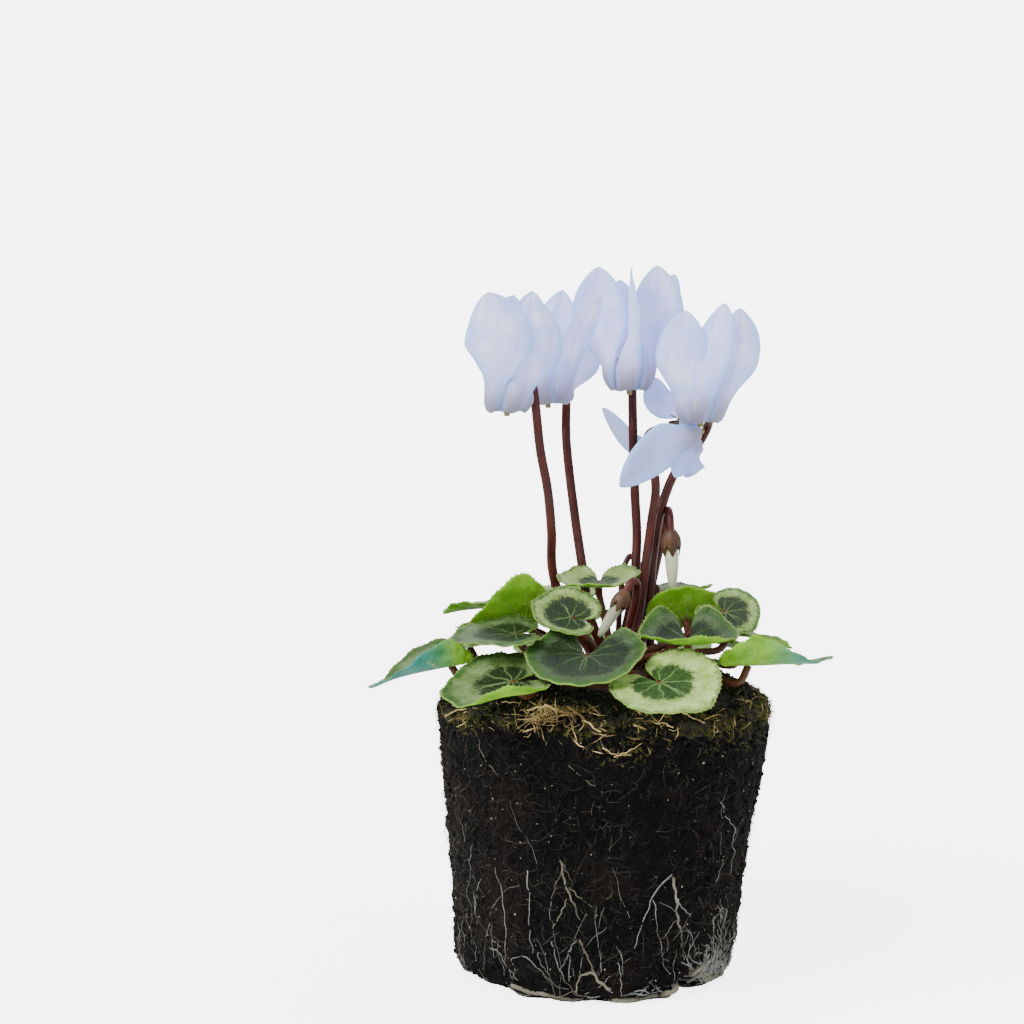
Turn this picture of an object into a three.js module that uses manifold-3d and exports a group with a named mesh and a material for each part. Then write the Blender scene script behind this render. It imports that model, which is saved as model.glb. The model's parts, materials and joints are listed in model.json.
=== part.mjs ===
// A white mini cyclamen lifted out of its pot, as a three.js scene: a peat root ball with its moss
// and its net of roots, the tuber in the top of the ball, heart-shaped leaves on their stalks, five
// open blooms and three buds. Millimetres, +Z up, the origin at the middle of the ball's flat base.
import * as THREE from "three";
import { mergeVertices } from "three/addons/utils/BufferGeometryUtils.js";
import Module from "manifold-3d";

const wasm = await Module();
wasm.setup();

// ---- driving dimensions ----
const GAP = 0.35; // air left between pieces that touch
const BALL = { height: 84, base: 42.8, top: 51, foot: 3.5, inset: 3.2, shoulder: 4, lean: 2.6, sides: 36 };
const MOSS = { inner: 17.5, outer: 50.5, thick: 2.6, sides: 36 };
const TUBER = { x: 4, y: 0, z: 84.5, radius: 16.5, half: 7.5, sides: 18 };
const ROOT = { radius: 0.8, ring: 1.3, height: 5, count: 16, stand: 0.4, sides: 4 };
const LEAF = { thick: 0.8, steps: 20, ring: 0.5, gap: 9, tooth: 0.025, stalk: 1.15, joints: 4 };
const BLOOM = { mouth: 4.9, cup: 7.2, throat: 3.5, wall: 0.8, petal: 0.75, stem: 1.45, foot: 2.9 };
const PETAL_ROWS = [0, 0.045, 0.12, 0.24, 0.37, 0.5, 0.64, 0.78, 0.9, 1];
const PETAL_COLUMNS = 2;
const WELD = 1e-3; // points nearer than this are one
const STALK_SIDES = 4;
const STEM_SIDES = 6;

const rad = THREE.MathUtils.degToRad;
const at = (x, y, z) => new THREE.Vector3(x, y, z);
const UP = at(0, 0, 1);

// ---- finishes ----
const finish = (color, roughness) => new THREE.MeshStandardMaterial({ color, roughness, metalness: 0 });
const FINISH = {
  peat: finish(0x1a1512, 0.95),
  moss: finish(0x6a6230, 0.95),
  root: finish(0xb9b09a, 0.7),
  tuber: finish(0x4a3020, 0.85),
  leaf: finish(0x4d6b3a, 0.5),
  stem: finish(0x4a211b, 0.45),
  petal: finish(0xe4e8f4, 0.5),
  style: finish(0xa8a060, 0.6),
  bud: finish(0xdcdcb8, 0.55),
};

// ---- solids ----
/** A closed geometry as a body that can be joined and cut. */
function bodyOf(geometry, weld = 1e-4) {
  const bare = geometry.clone();
  bare.deleteAttribute("normal");
  bare.deleteAttribute("uv");
  const merged = mergeVertices(bare, weld);
  return new wasm.Manifold(
    new wasm.Mesh({
      numProp: 3,
      vertProperties: merged.getAttribute("position").array,
      triVerts: new Uint32Array(merged.index.array),
    }),
  );
}

/** The outer skin of a body's largest piece, as a geometry. */
function skinOf(body) {
  const largest = body.decompose().reduce((a, b) => (a.volume() > b.volume() ? a : b));
  const { vertProperties, triVerts } = largest.getMesh();
  const geometry = new THREE.BufferGeometry();
  geometry.setAttribute("position", new THREE.BufferAttribute(vertProperties, 3));
  geometry.setIndex(new THREE.BufferAttribute(triVerts, 1));
  return geometry;
}

/** A joined or cut body as a named mesh, without loose scraps and without pockets closed in it. */
function meshOf(name, body, material) {
  const geometry = skinOf(bodyOf(skinOf(body), WELD));
  geometry.computeVertexNormals();
  const mesh = new THREE.Mesh(geometry, material);
  mesh.name = name;
  return mesh;
}

/** A middle surface given its thickness: its triangles on both faces, walled along its rim. */
function thicken(points, triangles, rim, thickness) {
  const middle = new THREE.BufferGeometry().setFromPoints(points);
  middle.setIndex(triangles);
  middle.computeVertexNormals();
  const normals = middle.getAttribute("normal");
  const position = [];
  for (const side of [0.5, -0.5])
    points.forEach((point, i) => {
      const normal = new THREE.Vector3().fromBufferAttribute(normals, i);
      position.push(...point.clone().addScaledVector(normal, side * thickness).toArray());
    });
  const under = points.length;
  const index = [...triangles];
  for (let i = 0; i < triangles.length; i += 3)
    index.push(triangles[i] + under, triangles[i + 2] + under, triangles[i + 1] + under);
  rim.forEach((a, i) => {
    const b = rim[(i + 1) % rim.length];
    index.push(a, a + under, b, b, a + under, b + under);
  });
  const solid = new THREE.BufferGeometry();
  solid.setAttribute("position", new THREE.Float32BufferAttribute(position, 3));
  solid.setIndex(index);
  return solid;
}

/** Part of a curve, from a share of it to its end. */
class LaterPart extends THREE.Curve {
  constructor(whole, from) {
    super();
    this.whole = whole;
    this.from = from;
  }
  getPoint(t, target = new THREE.Vector3()) {
    return this.whole.getPointAt(this.from + (1 - this.from) * t, target);
  }
}

/** A round bar along a curve. */
function bar(curve, radius, sides, steps) {
  const section = new THREE.Shape(
    Array.from({ length: sides }, (_, i) => {
      const turn = (i / sides) * 2 * Math.PI;
      return new THREE.Vector2(radius * Math.cos(turn), radius * Math.sin(turn));
    }),
  );
  return bodyOf(new THREE.ExtrudeGeometry(section, { steps, bevelEnabled: false, extrudePath: curve }));
}

/** A turned body: [radius, height] points from its low end on the axis to its top, stood along an axis. */
function turned(profile, sides, foot, axis) {
  const geometry = new THREE.LatheGeometry(
    profile.map(([radius, height]) => new THREE.Vector2(radius, height)),
    sides,
  );
  geometry.applyQuaternion(new THREE.Quaternion().setFromUnitVectors(at(0, 1, 0), axis));
  geometry.translate(foot.x, foot.y, foot.z);
  return bodyOf(geometry);
}

// ---- root ball ----
/** The ball leans a little: how far its middle has moved to +X at a height. */
const leanAt = (z) => (BALL.lean * z) / BALL.height;

/** Radius of the moulded ball at a height, before its bumps. */
const ballRadius = (z) => BALL.base + ((BALL.top - BALL.base) * z) / BALL.height;

/** Bumps pressed into the peat, all inwards, so that nothing stands proud of the moulded face. */
function peatBump(turn, z) {
  const broad = Math.sin(5 * turn + 0.09 * z) + Math.sin(3 * turn - 0.13 * z + 1.2);
  const small = Math.sin(13 * turn + 0.31 * z) * Math.cos(9 * turn - 0.22 * z);
  return -0.35 * (2 + broad) - 0.3 * (1 + small);
}

function rootBall() {
  const heights = [0, BALL.foot, 18, 34, 50, 66, BALL.height - BALL.shoulder, BALL.height];
  const points = [at(0, 0, 0)];
  heights.forEach((z, row) => {
    for (let i = 0; i < BALL.sides; i += 1) {
      const turn = (i / BALL.sides) * 2 * Math.PI;
      const ends = row === 0 ? -BALL.inset : row === heights.length - 1 ? -BALL.shoulder : 0;
      const radius = ballRadius(z) + ends + peatBump(turn, z);
      points.push(at(leanAt(z) + radius * Math.cos(turn), radius * Math.sin(turn), z));
    }
  });
  points.push(at(leanAt(BALL.height), 0, BALL.height));
  const index = [];
  const spot = (row, i) => 1 + row * BALL.sides + (i % BALL.sides);
  for (let i = 0; i < BALL.sides; i += 1) {
    index.push(0, spot(0, i + 1), spot(0, i));
    index.push(points.length - 1, spot(heights.length - 1, i), spot(heights.length - 1, i + 1));
    for (let row = 0; row < heights.length - 1; row += 1) {
      index.push(spot(row, i), spot(row, i + 1), spot(row + 1, i + 1));
      index.push(spot(row, i), spot(row + 1, i + 1), spot(row + 1, i));
    }
  }
  const geometry = new THREE.BufferGeometry().setFromPoints(points);
  geometry.setIndex(index);
  const pocket = tuberBody(GAP);
  return meshOf("root_ball", bodyOf(geometry).subtract(pocket), FINISH.peat);
}

/** The flat-topped tuber, or the room that it needs when given some ease. */
function tuberBody(ease) {
  const { x, y, z, radius, half, sides } = TUBER;
  const profile = [];
  for (let i = 0; i <= 8; i += 1) {
    const turn = Math.PI * (i / 8 - 0.5);
    const share = i === 0 || i === 8 ? 0 : Math.cos(turn);
    profile.push([share * (radius + ease), Math.sin(turn) * (half + ease)]);
  }
  return turned(profile, sides, at(x, y, z), UP);
}

/** Moss and straw over the top of the ball: a low uneven ring that leaves the tuber bare. */
function mossMat() {
  const { inner, outer, thick, sides } = MOSS;
  const shares = [0, 0.35, 0.7, 1];
  const low = BALL.height + GAP;
  const points = [];
  for (const top of [0, 1])
    for (const share of shares)
      for (let i = 0; i < sides; i += 1) {
        const turn = (i / sides) * 2 * Math.PI;
        const ragged = share === 1 ? 1.1 * Math.sin(11 * turn) + 0.7 * Math.sin(5 * turn + 1) - 3.6 : 0;
        const radius = inner + (outer - inner) * share + ragged;
        const rise = 1 + 0.3 * Math.sin(4 * turn + 6 * share) + 0.25 * Math.sin(9 * turn - 5 * share);
        const edge = share === 0 || share === 1 ? 0.45 : 1;
        const z = low + top * thick * rise * edge;
        points.push(at(leanAt(BALL.height) + radius * Math.cos(turn), radius * Math.sin(turn), z));
      }
  const index = [];
  const layer = shares.length * sides;
  const spot = (top, row, i) => top * layer + row * sides + (i % sides);
  for (let i = 0; i < sides; i += 1) {
    for (let row = 0; row < shares.length - 1; row += 1) {
      index.push(spot(1, row, i), spot(1, row + 1, i), spot(1, row + 1, i + 1));
      index.push(spot(1, row, i), spot(1, row + 1, i + 1), spot(1, row, i + 1));
      index.push(spot(0, row, i), spot(0, row + 1, i + 1), spot(0, row + 1, i));
      index.push(spot(0, row, i), spot(0, row, i + 1), spot(0, row + 1, i + 1));
    }
    const last = shares.length - 1;
    index.push(spot(0, last, i), spot(0, last, i + 1), spot(1, last, i + 1));
    index.push(spot(0, last, i), spot(1, last, i + 1), spot(1, last, i));
    index.push(spot(0, 0, i), spot(1, 0, i + 1), spot(0, 0, i + 1));
    index.push(spot(0, 0, i), spot(1, 0, i), spot(1, 0, i + 1));
  }
  const geometry = new THREE.BufferGeometry().setFromPoints(points);
  geometry.setIndex(index);
  return meshOf("moss_mat", bodyOf(geometry).subtract(tuberBody(GAP)), FINISH.moss);
}

/** A point just off the moulded face of the ball. */
function offBall(turn, z, stand) {
  const radius = ballRadius(z) + stand;
  return at(leanAt(z) + radius * Math.cos(turn), radius * Math.sin(turn), z);
}

/** Roots that show on the ball: a ring matted round its foot, with roots that climb from it. */
function rootNet() {
  const { radius, ring, height, count, stand, sides } = ROOT;
  const hoop = new THREE.CatmullRomCurve3(
    Array.from({ length: 40 }, (_, i) => {
      const turn = (i / 40) * 2 * Math.PI;
      return offBall(turn, height + 0.8 * Math.sin(7 * turn), ring + stand);
    }),
    true,
  );
  let net = bar(hoop, ring, 5, 40);
  for (let i = 0; i < count; i += 1) {
    const turn = ((i + 0.35 * Math.sin(4.7 * i)) / count) * 2 * Math.PI;
    const reach = 16 + 11 * (0.5 + 0.5 * Math.sin(2.4 * i + 1)) + 12 * (i % 4 === 0);
    const sway = 0.16 * Math.sin(3.1 * i + 0.5);
    const path = new THREE.CatmullRomCurve3([
      offBall(turn, height - 0.6, ring + stand),
      offBall(turn + 0.3 * sway, height + 0.3 * reach, radius + stand),
      offBall(turn + sway, height + 0.65 * reach, radius + stand),
      offBall(turn + 0.4 * sway, height + reach, radius + stand),
    ]);
    net = net.add(bar(path, radius, sides, 5));
  }
  return meshOf("root_net", net, FINISH.root);
}

// ---- stalks that grow from the tuber ----
const sockets = [];

/** The way out of the tuber: a point on its top, a share of the way to its rim, and the direction out. */
function growthPoint(azimuth, share) {
  const turn = rad(azimuth);
  const out = share * TUBER.radius;
  const rise = TUBER.half * Math.sqrt(1 - share * share);
  const spot = at(TUBER.x + out * Math.cos(turn), TUBER.y + out * Math.sin(turn), TUBER.z + rise);
  const slope = at(
    (out * Math.cos(turn)) / TUBER.radius ** 2,
    (out * Math.sin(turn)) / TUBER.radius ** 2,
    rise / TUBER.half ** 2,
  ).normalize();
  return { spot, slope };
}

/** A stalk or stem from its own socket in the tuber through points to its end. */
function stalk(root, onward, radius, sides, steps) {
  const { spot, slope } = growthPoint(root[0], root[1]);
  const whole = new THREE.CatmullRomCurve3(
    [spot.clone().addScaledVector(slope, -3), spot.clone().addScaledVector(slope, 2.5), ...onward],
    false,
    "centripetal",
  );
  const from = 0.5 / whole.getLength();
  const first = whole.getPointAt(0);
  const next = whole.getPointAt(from + (1 - from) / steps);
  sockets.push(bar(new THREE.LineCurve3(first, next), radius + 0.6, 5, 1));
  return bar(new LaterPart(whole, from), radius, sides, steps);
}

// ---- leaves ----
// at: where the stalk meets the blade. heading: the way the tip points, 0 along +X and 90 along +Y.
// pitch lifts the tip and roll the left side, in degrees. size: from the stalk to the tip. sides: how
// much the left and the right curl up. fold: how sharply their edges turn up. bend lifts the tip, lobe
// the back; back, narrow and gap make the back shorter, the tip slimmer and the notch wider. root:
// [azimuth, share of the way to the rim] on the tuber.
const LEAVES = {
  front: { at: [-3.6, -38.2, 99.1], heading: -99, pitch: -18, roll: 0, size: 19.6, sides: [0.2, 0.15], bend: 0, lobe: 0.5, back: 0.9, gap: 24, root: [-112, 0.8] },
  front_right: { at: [16.7, -49.4, 93.2], heading: -46, pitch: -15, roll: 21, size: 17.8, sides: [0.2, 0.15], bend: 0, lobe: 0.1, back: 0.9, gap: 11, root: [-72, 0.86] },
  mid_right: { at: [25.3, -29.1, 102.8], heading: -88, pitch: -12, roll: 0, size: 16.5, sides: [0.2, 0.2], bend: 0.38, lobe: 0.95, gap: 14, root: [-58, 0.62] },
  young: { at: [-8.4, -24, 108.6], heading: 170, pitch: 14, roll: -34, size: 11.8, sides: [0.3, 0.3], bend: 0.15, lobe: 0.2, root: [-120, 0.45] },
  left_mid: { at: [-24.5, -26.8, 104], heading: 186, pitch: -3, roll: -9, size: 18.2, sides: [0.1, 0.1], bend: 0, lobe: 0.1, back: 0.6, root: [-148, 0.62] },
  left_up: { at: [-23, -4.6, 105.8], heading: 190, pitch: -7, roll: 17, size: 20, sides: [0.75, 0.1], bend: 0, lobe: 0.1, back: 0.6, narrow: 0.4, root: [178, 0.6] },
  far_left: { at: [-44, -18, 93.6], heading: 189, pitch: -8, roll: 2, size: 24, sides: [0.5, 0.4], bend: -0.12, lobe: 0.2, back: 0.4, narrow: 0.3, root: [-162, 0.9] },
  front_left: { at: [-24.5, -45.5, 92.6], heading: 190, pitch: -10, roll: -18, size: 19.5, sides: [0.1, 0.1], fold: [1.1, 0], bend: 0, lobe: 0.05, back: 0.75, gap: 14, root: [-134, 0.88] },
  right: { at: [43, -25, 95.2], heading: 2, pitch: 1, roll: -6, size: 23.5, sides: [0.1, 0.5], bend: 0.05, lobe: 0.1, back: 0.6, narrow: 0.6, root: [-34, 0.85] },
  small_right: { at: [37, -16, 109.6], heading: -40, pitch: -24, roll: 34, size: 10.8, sides: [0.2, 0.3], bend: 0, lobe: 0.1, root: [-14, 0.72] },
  right_up: { at: [26.3, -1.8, 105.7], heading: -90, pitch: 46, roll: 0, size: 14, sides: [0.2, 0.2], bend: 0.1, lobe: 0.1, back: 0.6, root: [-42, 0.4] },
  saddle: { at: [-0.3, -5.2, 117.4], heading: -92, pitch: -13, roll: 0, size: 14.5, sides: [0.35, 0.2], bend: 0.25, lobe: 0.6, back: 0.8, root: [-95, 0.2] },
  back_left: { at: [-30, 16, 107.8], heading: 160, pitch: 0, roll: 0, size: 20, sides: [0.2, 0.2], bend: -0.1, lobe: 0.2, root: [160, 0.62] },
  back_left_low: { at: [-42, 26, 94], heading: 150, pitch: -10, roll: 0, size: 21, sides: [0.2, 0.2], bend: -0.1, lobe: 0.2, root: [146, 0.88] },
  back_high_left: { at: [-14, 20, 111], heading: 128, pitch: 6, roll: 0, size: 17, sides: [0.3, 0.2], bend: 0, lobe: 0.2, root: [138, 0.5] },
  back_mid: { at: [-8, 38, 102], heading: 105, pitch: -8, roll: 0, size: 20, sides: [0.2, 0.2], bend: -0.1, lobe: 0.2, root: [108, 0.66] },
  back_low: { at: [-12, 50, 92], heading: 112, pitch: -20, roll: 0, size: 19, sides: [0.15, 0.2], bend: 0, lobe: 0.1, root: [118, 0.9] },
  back_right_low: { at: [20, 48, 92], heading: 68, pitch: -20, roll: 0, size: 19, sides: [0.2, 0.2], bend: 0, lobe: 0.1, root: [82, 0.9] },
  back_right: { at: [22, 29, 105.2], heading: 62, pitch: -6, roll: 0, size: 20, sides: [0.2, 0.3], bend: 0, lobe: 0.1, root: [64, 0.66] },
  right_mid: { at: [40.4, 8, 100.6], heading: 12, pitch: -6, roll: 0, size: 19, sides: [0.1, 0.15], bend: -0.1, lobe: 0.1, back: 0.8, root: [14, 0.82] },
  right_low: { at: [46.2, 20.4, 93.8], heading: 25, pitch: -14, roll: 0, size: 19, sides: [0.2, 0.2], bend: 0, lobe: 0.1, root: [38, 0.9] },
  back_high_right: { at: [22.5, 14, 112.4], heading: 36, pitch: 8, roll: 0, size: 13.5, sides: [0.2, 0.3], bend: 0, lobe: 0.2, back: 0.7, root: [48, 0.5] },
};

/** From the stalk to the leaf's edge at an angle from its tip, as a share of the way to the tip. */
function leafEdge(angle, gap) {
  const turned = Math.abs(angle);
  const round = 0.8 + 0.18 * ((1 + Math.cos(turned)) / 2) ** 1.5;
  const point = 0.06 * Math.exp(-((turned / 0.2) ** 2));
  const start = rad(130);
  const lobe = Math.max(0, (turned - start) / (Math.PI - rad(gap) - start));
  return (round + point) * (1 - 0.42 * lobe ** 3);
}

/** A blade's middle surface at a share of the way out and an angle from the tip, in its own frame. */
function bladePoint(leaf, share, angle, tooth = 0) {
  const reach = share * (leafEdge(angle, leaf.gap ?? LEAF.gap) + tooth);
  const x = reach * Math.cos(angle) * (Math.abs(angle) > Math.PI / 2 ? (leaf.back ?? 1) : 1);
  const y = reach * Math.sin(angle) * (1 - (leaf.narrow ?? 0) * Math.max(0, x));
  const along = (x > 0 ? leaf.bend : leaf.lobe) * x * x;
  const side = y > 0 ? 0 : 1;
  const turnedUp = (leaf.fold?.[side] ?? 0) * Math.max(0, Math.abs(y) - 0.35) ** 2;
  const across = leaf.sides[side] * y * y + turnedUp;
  const ripple = 0.03 * reach ** 2 * Math.sin(5 * angle + leaf.heading);
  return at(x, y, along + across + ripple).multiplyScalar(leaf.size);
}

/** The turn that points a blade's tip along its heading, then lifts the tip and the left side. */
function bladeTurn(leaf) {
  return new THREE.Matrix4()
    .makeRotationZ(rad(leaf.heading))
    .multiply(new THREE.Matrix4().makeRotationY(-rad(leaf.pitch)))
    .multiply(new THREE.Matrix4().makeRotationX(rad(leaf.roll)));
}

/** A blade: a fan from the stalk to a ring half way out, a band with twice its points to the edge. */
function blade(leaf) {
  const { steps, ring, tooth, thick } = LEAF;
  const widest = Math.PI - rad(leaf.gap ?? LEAF.gap);
  const place = bladeTurn(leaf).setPosition(...leaf.at);
  const angleAt = (j) => widest * ((2 * j) / steps - 1);
  const inner = (j) => 1 + j;
  const outer = (j) => 2 + steps / 2 + j;
  const points = [at(0, 0, 0)];
  for (let j = 0; j <= steps; j += 2) points.push(bladePoint(leaf, ring, angleAt(j)));
  for (let j = 0; j <= steps; j += 1) points.push(bladePoint(leaf, 1, angleAt(j), j % 2 ? -tooth : tooth));
  const triangles = [];
  for (let j = 0; j < steps / 2; j += 1) {
    triangles.push(0, inner(j), inner(j + 1));
    triangles.push(inner(j), outer(2 * j), outer(2 * j + 1), inner(j), outer(2 * j + 1), inner(j + 1));
    triangles.push(inner(j + 1), outer(2 * j + 1), outer(2 * j + 2));
  }
  const edge = Array.from({ length: steps + 1 }, (_, j) => outer(j));
  const rim = [0, inner(0), ...edge, inner(steps / 2)];
  return bodyOf(thicken(points.map((point) => point.applyMatrix4(place)), triangles, rim, thick));
}

function leafMesh(name, leaf) {
  const turn = bladeTurn(leaf);
  const tip = at(1, 0, 0).applyMatrix4(turn);
  const face = at(0, 0, 1).applyMatrix4(turn);
  const joint = at(...leaf.at);
  const under = joint.clone().addScaledVector(tip, -3).addScaledVector(face, -5);
  const { spot } = growthPoint(leaf.root[0], leaf.root[1]);
  const middle = spot.clone().lerp(under, 0.55).add(at(0, 0, 0.1 * spot.distanceTo(under)));
  const end = joint.clone().addScaledVector(face, 0.3);
  const stem = stalk(leaf.root, [middle, under, end], LEAF.stalk, STALK_SIDES, LEAF.joints);
  return meshOf("leaf_" + name, blade(leaf).add(stem), FINISH.leaf);
}

// ---- blooms ----
// mouth: the middle of the ring where the petals turn back. axis: from the mouth to the petal tips.
// out: the side on which the stem comes down. hook: [height above the mouth, way out]. stem: points
// down from the hook. petals: [azimuth at the
// mouth, middle, tip, azimuth that the middle and the tip face (or the way across them), width, share
// of the length where it is widest]; the points and azimuths are in the bloom's own frame, whose Z is
// its axis.
const HOOK = [[4, 10.5], [10, 9], [13.5, 5.4], [13, 1.2]];
const BLOOMS = {
  a: {
    mouth: [-27.5, -16, 168.4], axis: [0, 0, 1], out: [0.75, 0.65, 0], hook: HOOK, root: [-170, 0.25],
    stem: [[-18, -7, 157.5], [-15.9, -4, 145.5], [-14.8, -1, 133], [-14.5, 3, 120], [-9, 2, 104]],
    petals: [
      [222, [-2.4, -7.5, 21], [-5.3, -6.5, 35], 262, 260, 20.5],
      [158, [-1, 0.5, 22], [2, -1, 34.6], 262, 268, 16],
      [288, [8.4, -4, 20], [7.6, -3, 33.4], 287, 290, 17.5],
      [355, [7, 4, 21], [6, 5, 33], 330, 340, 15],
      [85, [-4, 7.5, 20], [-3, 7, 33], 110, 100, 15],
    ],
  },
  b: {
    mouth: [-16.1, 8, 171.5], axis: [0, 0, 1], out: [0.5, 0.85, 0], hook: HOOK, root: [115, 0.3],
    stem: [[-10.6, 14, 160.7], [-7.7, 9, 136], [-5.2, 5, 120], [-3, 3, 106]],
    petals: [
      [195, [-6.5, -1, 20], [-4.7, -1, 35], 245, 250, 16],
      [262, [1.5, -5, 20], [4.6, -4, 35], 250, 255, 15],
      [315, [8.2, -9, 18], [16.2, -13, 32.5], 300, 290, 10],
      [10, [10, 0.5, 12], [12.5, -0.5, 23], 285, 280, 12],
      [110, [-4, 7, 20], [-3.5, 7, 33], 100, 100, 15],
    ],
  },
  c: {
    mouth: [8.9, 3, 175.4], axis: [0, 0, 1], out: [0.1, 1, 0], hook: HOOK, root: [55, 0.22],
    stem: [[10.2, 10.5, 163], [10.4, 10, 154], [10.9, 9.5, 142], [11.4, 8, 129.7], [10, 5, 112]],
    petals: [
      [190, [-9, -1, 22], [-9.6, -1, 38], 262, 262, 17.5],
      [262, [0.3, -7, 20], [0.4, -6, 37], 188, 183, 15],
      [332, [8.5, -2, 22], [8.3, -2, 38], 285, 280, 17],
      [30, [9.5, 6.5, 21], [14, 6, 36.3], 310, 300, 15],
      [120, [-2, 9.5, 20], [-3, 9, 35], 95, 95, 14],
    ],
  },
  d: {
    mouth: [30, -9, 165.3], axis: [0, 0, 1], out: [0.25, 0.97, 0], hook: HOOK, root: [16, 0.44],
    stem: [[33.2, 8.5, 165], [29.5, 11.5, 158], [23.5, 10.5, 151], [18.8, 8, 139], [16.2, 6, 124], [14.8, 4.5, 108]],
    petals: [
      [199, [-6, -3.1, 19], [-4.8, -3, 33.5], 258, 262, 15.8],
      [256, [3, -5.6, 22], [6.6, -4.5, 35.4], 240, 240, 13.2],
      [321, [10.5, -3.1, 22], [11.4, -3, 34], 292, 295, 15.6],
      [15, [7, 4, 20], [7, 5, 33], 335, 345, 14],
      [130, [-5, 6.5, 19], [-4, 7, 32], 118, 110, 14],
    ],
  },
  e: {
    mouth: [30.8, 3, 163.4], axis: [-1, 0, 0.1], out: [0, 0, -1], hook: [[17, 5.6], [15.6, 2.2], [12.4, 0.6]], root: [-20, 0.3],
    stem: [[16.4, 2.5, 151], [17, 2.5, 145], [15.8, 2.5, 136], [14.2, 2, 124], [12.2, 1, 109]],
    petals: [
      [15, [8.4, 4, 13.4], [15, 6, 15.6], 290, 285, 10],
      [80, [-6.5, 11, 18.1], [4.5, 16.5, 30.6], 250, 265, 7],
      [180, [-9.8, -2.5, 1.4], [-14.6, -3, 3.6], [0, -0.5, 0.9], [0, 0, 1], 8, 0.4],
      [255, [-6.8, -8.5, 12], [-19.4, -9, 22.9], 258, 262, 13.5, 0.42],
      [215, [-9.8, -4.5, 4.6], [-15, -5, 6.7], [0, -0.3, 0.9], [0, 0, 1], 8, 0.5],
    ],
  },
};

/** A frame on a bloom's axis: X and Y to the sides, Z along it, the origin in its mouth. */
function bloomFrame(bloom) {
  const along = at(...bloom.axis).normalize();
  const side = Math.abs(along.z) > 0.6 ? at(1, 0, 0) : at(0, 0, 1);
  side.addScaledVector(along, -side.dot(along)).normalize();
  return new THREE.Matrix4().makeBasis(side, along.clone().cross(side), along).setPosition(...bloom.mouth);
}

/** Half of a petal's width at a share of its length. */
function petalHalf(share, width, peak) {
  const risen = THREE.MathUtils.smoothstep(share, 0.23 * peak, peak);
  const blade = (width / 2) * (share < peak ? risen : (1 - ((share - peak) / (1 - peak)) ** 2) ** 0.72);
  return Math.max(share < 0.5 ? BLOOM.foot : 0.6, blade);
}

/** A petal: from the cup's rim it turns back past the mouth, then rises and twists to its tip. */
function petal([base, middle, tip, faceMiddle, faceTip, width, peak = 0.6], frame) {
  const own = 0.12 * Math.sin(3.7 * rad(base)); // no two petals start at the same height
  const around = (radius, high) => at(radius * Math.cos(rad(base)), radius * Math.sin(rad(base)), high + own);
  const path = new THREE.CatmullRomCurve3(
    [around(4, 1.3), around(5, 0.35), around(6, Math.min(1.7, middle[2] / 9)), at(...middle), at(...tip)],
    false,
    "centripetal",
  );
  const nearest = (angle, to) => angle + 360 * Math.round((to - angle) / 360);
  const level = (face) => at(-Math.sin(rad(face)), Math.cos(rad(face)), 0);
  const free = Array.isArray(faceMiddle);
  const faces = free ? [] : [base, nearest(faceMiddle, base), nearest(faceTip, nearest(faceMiddle, base))];
  const ways = free ? [level(base), at(...faceMiddle).normalize(), at(...faceTip).normalize()] : [];
  const points = [];
  for (const share of PETAL_ROWS) {
    const spot = path.getPointAt(share);
    const ahead = path.getTangentAt(share);
    const first = THREE.MathUtils.smoothstep(share, 0.1, 0.55);
    const second = THREE.MathUtils.smoothstep(share, 0.55, 1);
    const across = free
      ? ways[0].clone().lerp(ways[1], first).addScaledVector(ways[2].clone().sub(ways[1]), second)
      : level(faces[0] + first * (faces[1] - faces[0]) + second * (faces[2] - faces[1]));
    across.addScaledVector(ahead, -across.dot(ahead)).normalize();
    const outside = across.clone().cross(ahead);
    const half = petalHalf(share, width, peak);
    const hood = THREE.MathUtils.lerp(0.1, 0.012, Math.min(1, share / 0.5));
    for (let column = 0; column <= PETAL_COLUMNS; column += 1) {
      const aside = half * ((2 * column) / PETAL_COLUMNS - 1);
      const point = spot.clone().addScaledVector(across, aside).addScaledVector(outside, -hood * aside * aside);
      points.push(point.applyMatrix4(frame));
    }
  }
  return bodyOf(thicken(points, ...gridOf(PETAL_ROWS.length, PETAL_COLUMNS), BLOOM.petal));
}

/** Triangles of a grid of rows and columns of points, and the way round its rim. */
function gridOf(rows, columns) {
  const spot = (row, column) => row * (columns + 1) + column;
  const triangles = [];
  for (let row = 0; row < rows - 1; row += 1)
    for (let column = 0; column < columns; column += 1) {
      triangles.push(spot(row, column), spot(row, column + 1), spot(row + 1, column + 1));
      triangles.push(spot(row, column), spot(row + 1, column + 1), spot(row + 1, column));
    }
  const rim = [];
  for (let column = 0; column <= columns; column += 1) rim.push(spot(0, column));
  for (let row = 1; row < rows; row += 1) rim.push(spot(row, columns));
  for (let column = columns - 1; column >= 0; column -= 1) rim.push(spot(rows - 1, column));
  for (let row = rows - 2; row > 0; row -= 1) rim.push(spot(row, 0));
  return [triangles, rim];
}

/** The short cup of a bloom, open at its mouth, closed where it meets the calyx. */
function cup(frame) {
  const { mouth, cup: high, throat, wall } = BLOOM;
  const profile = [
    [0, high - wall],
    [throat - wall, high - wall],
    [mouth - wall - 0.3, 0.9],
    [mouth, 0.9],
    [throat, high],
    [0, high],
  ];
  return turned(profile, 9, ...footOf(frame));
}

/** Where a bloom's frame stands and the way its axis points. */
function footOf(frame) {
  return [at(0, 0, 0).applyMatrix4(frame), at(0, 0, 1).transformDirection(frame)];
}

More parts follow.
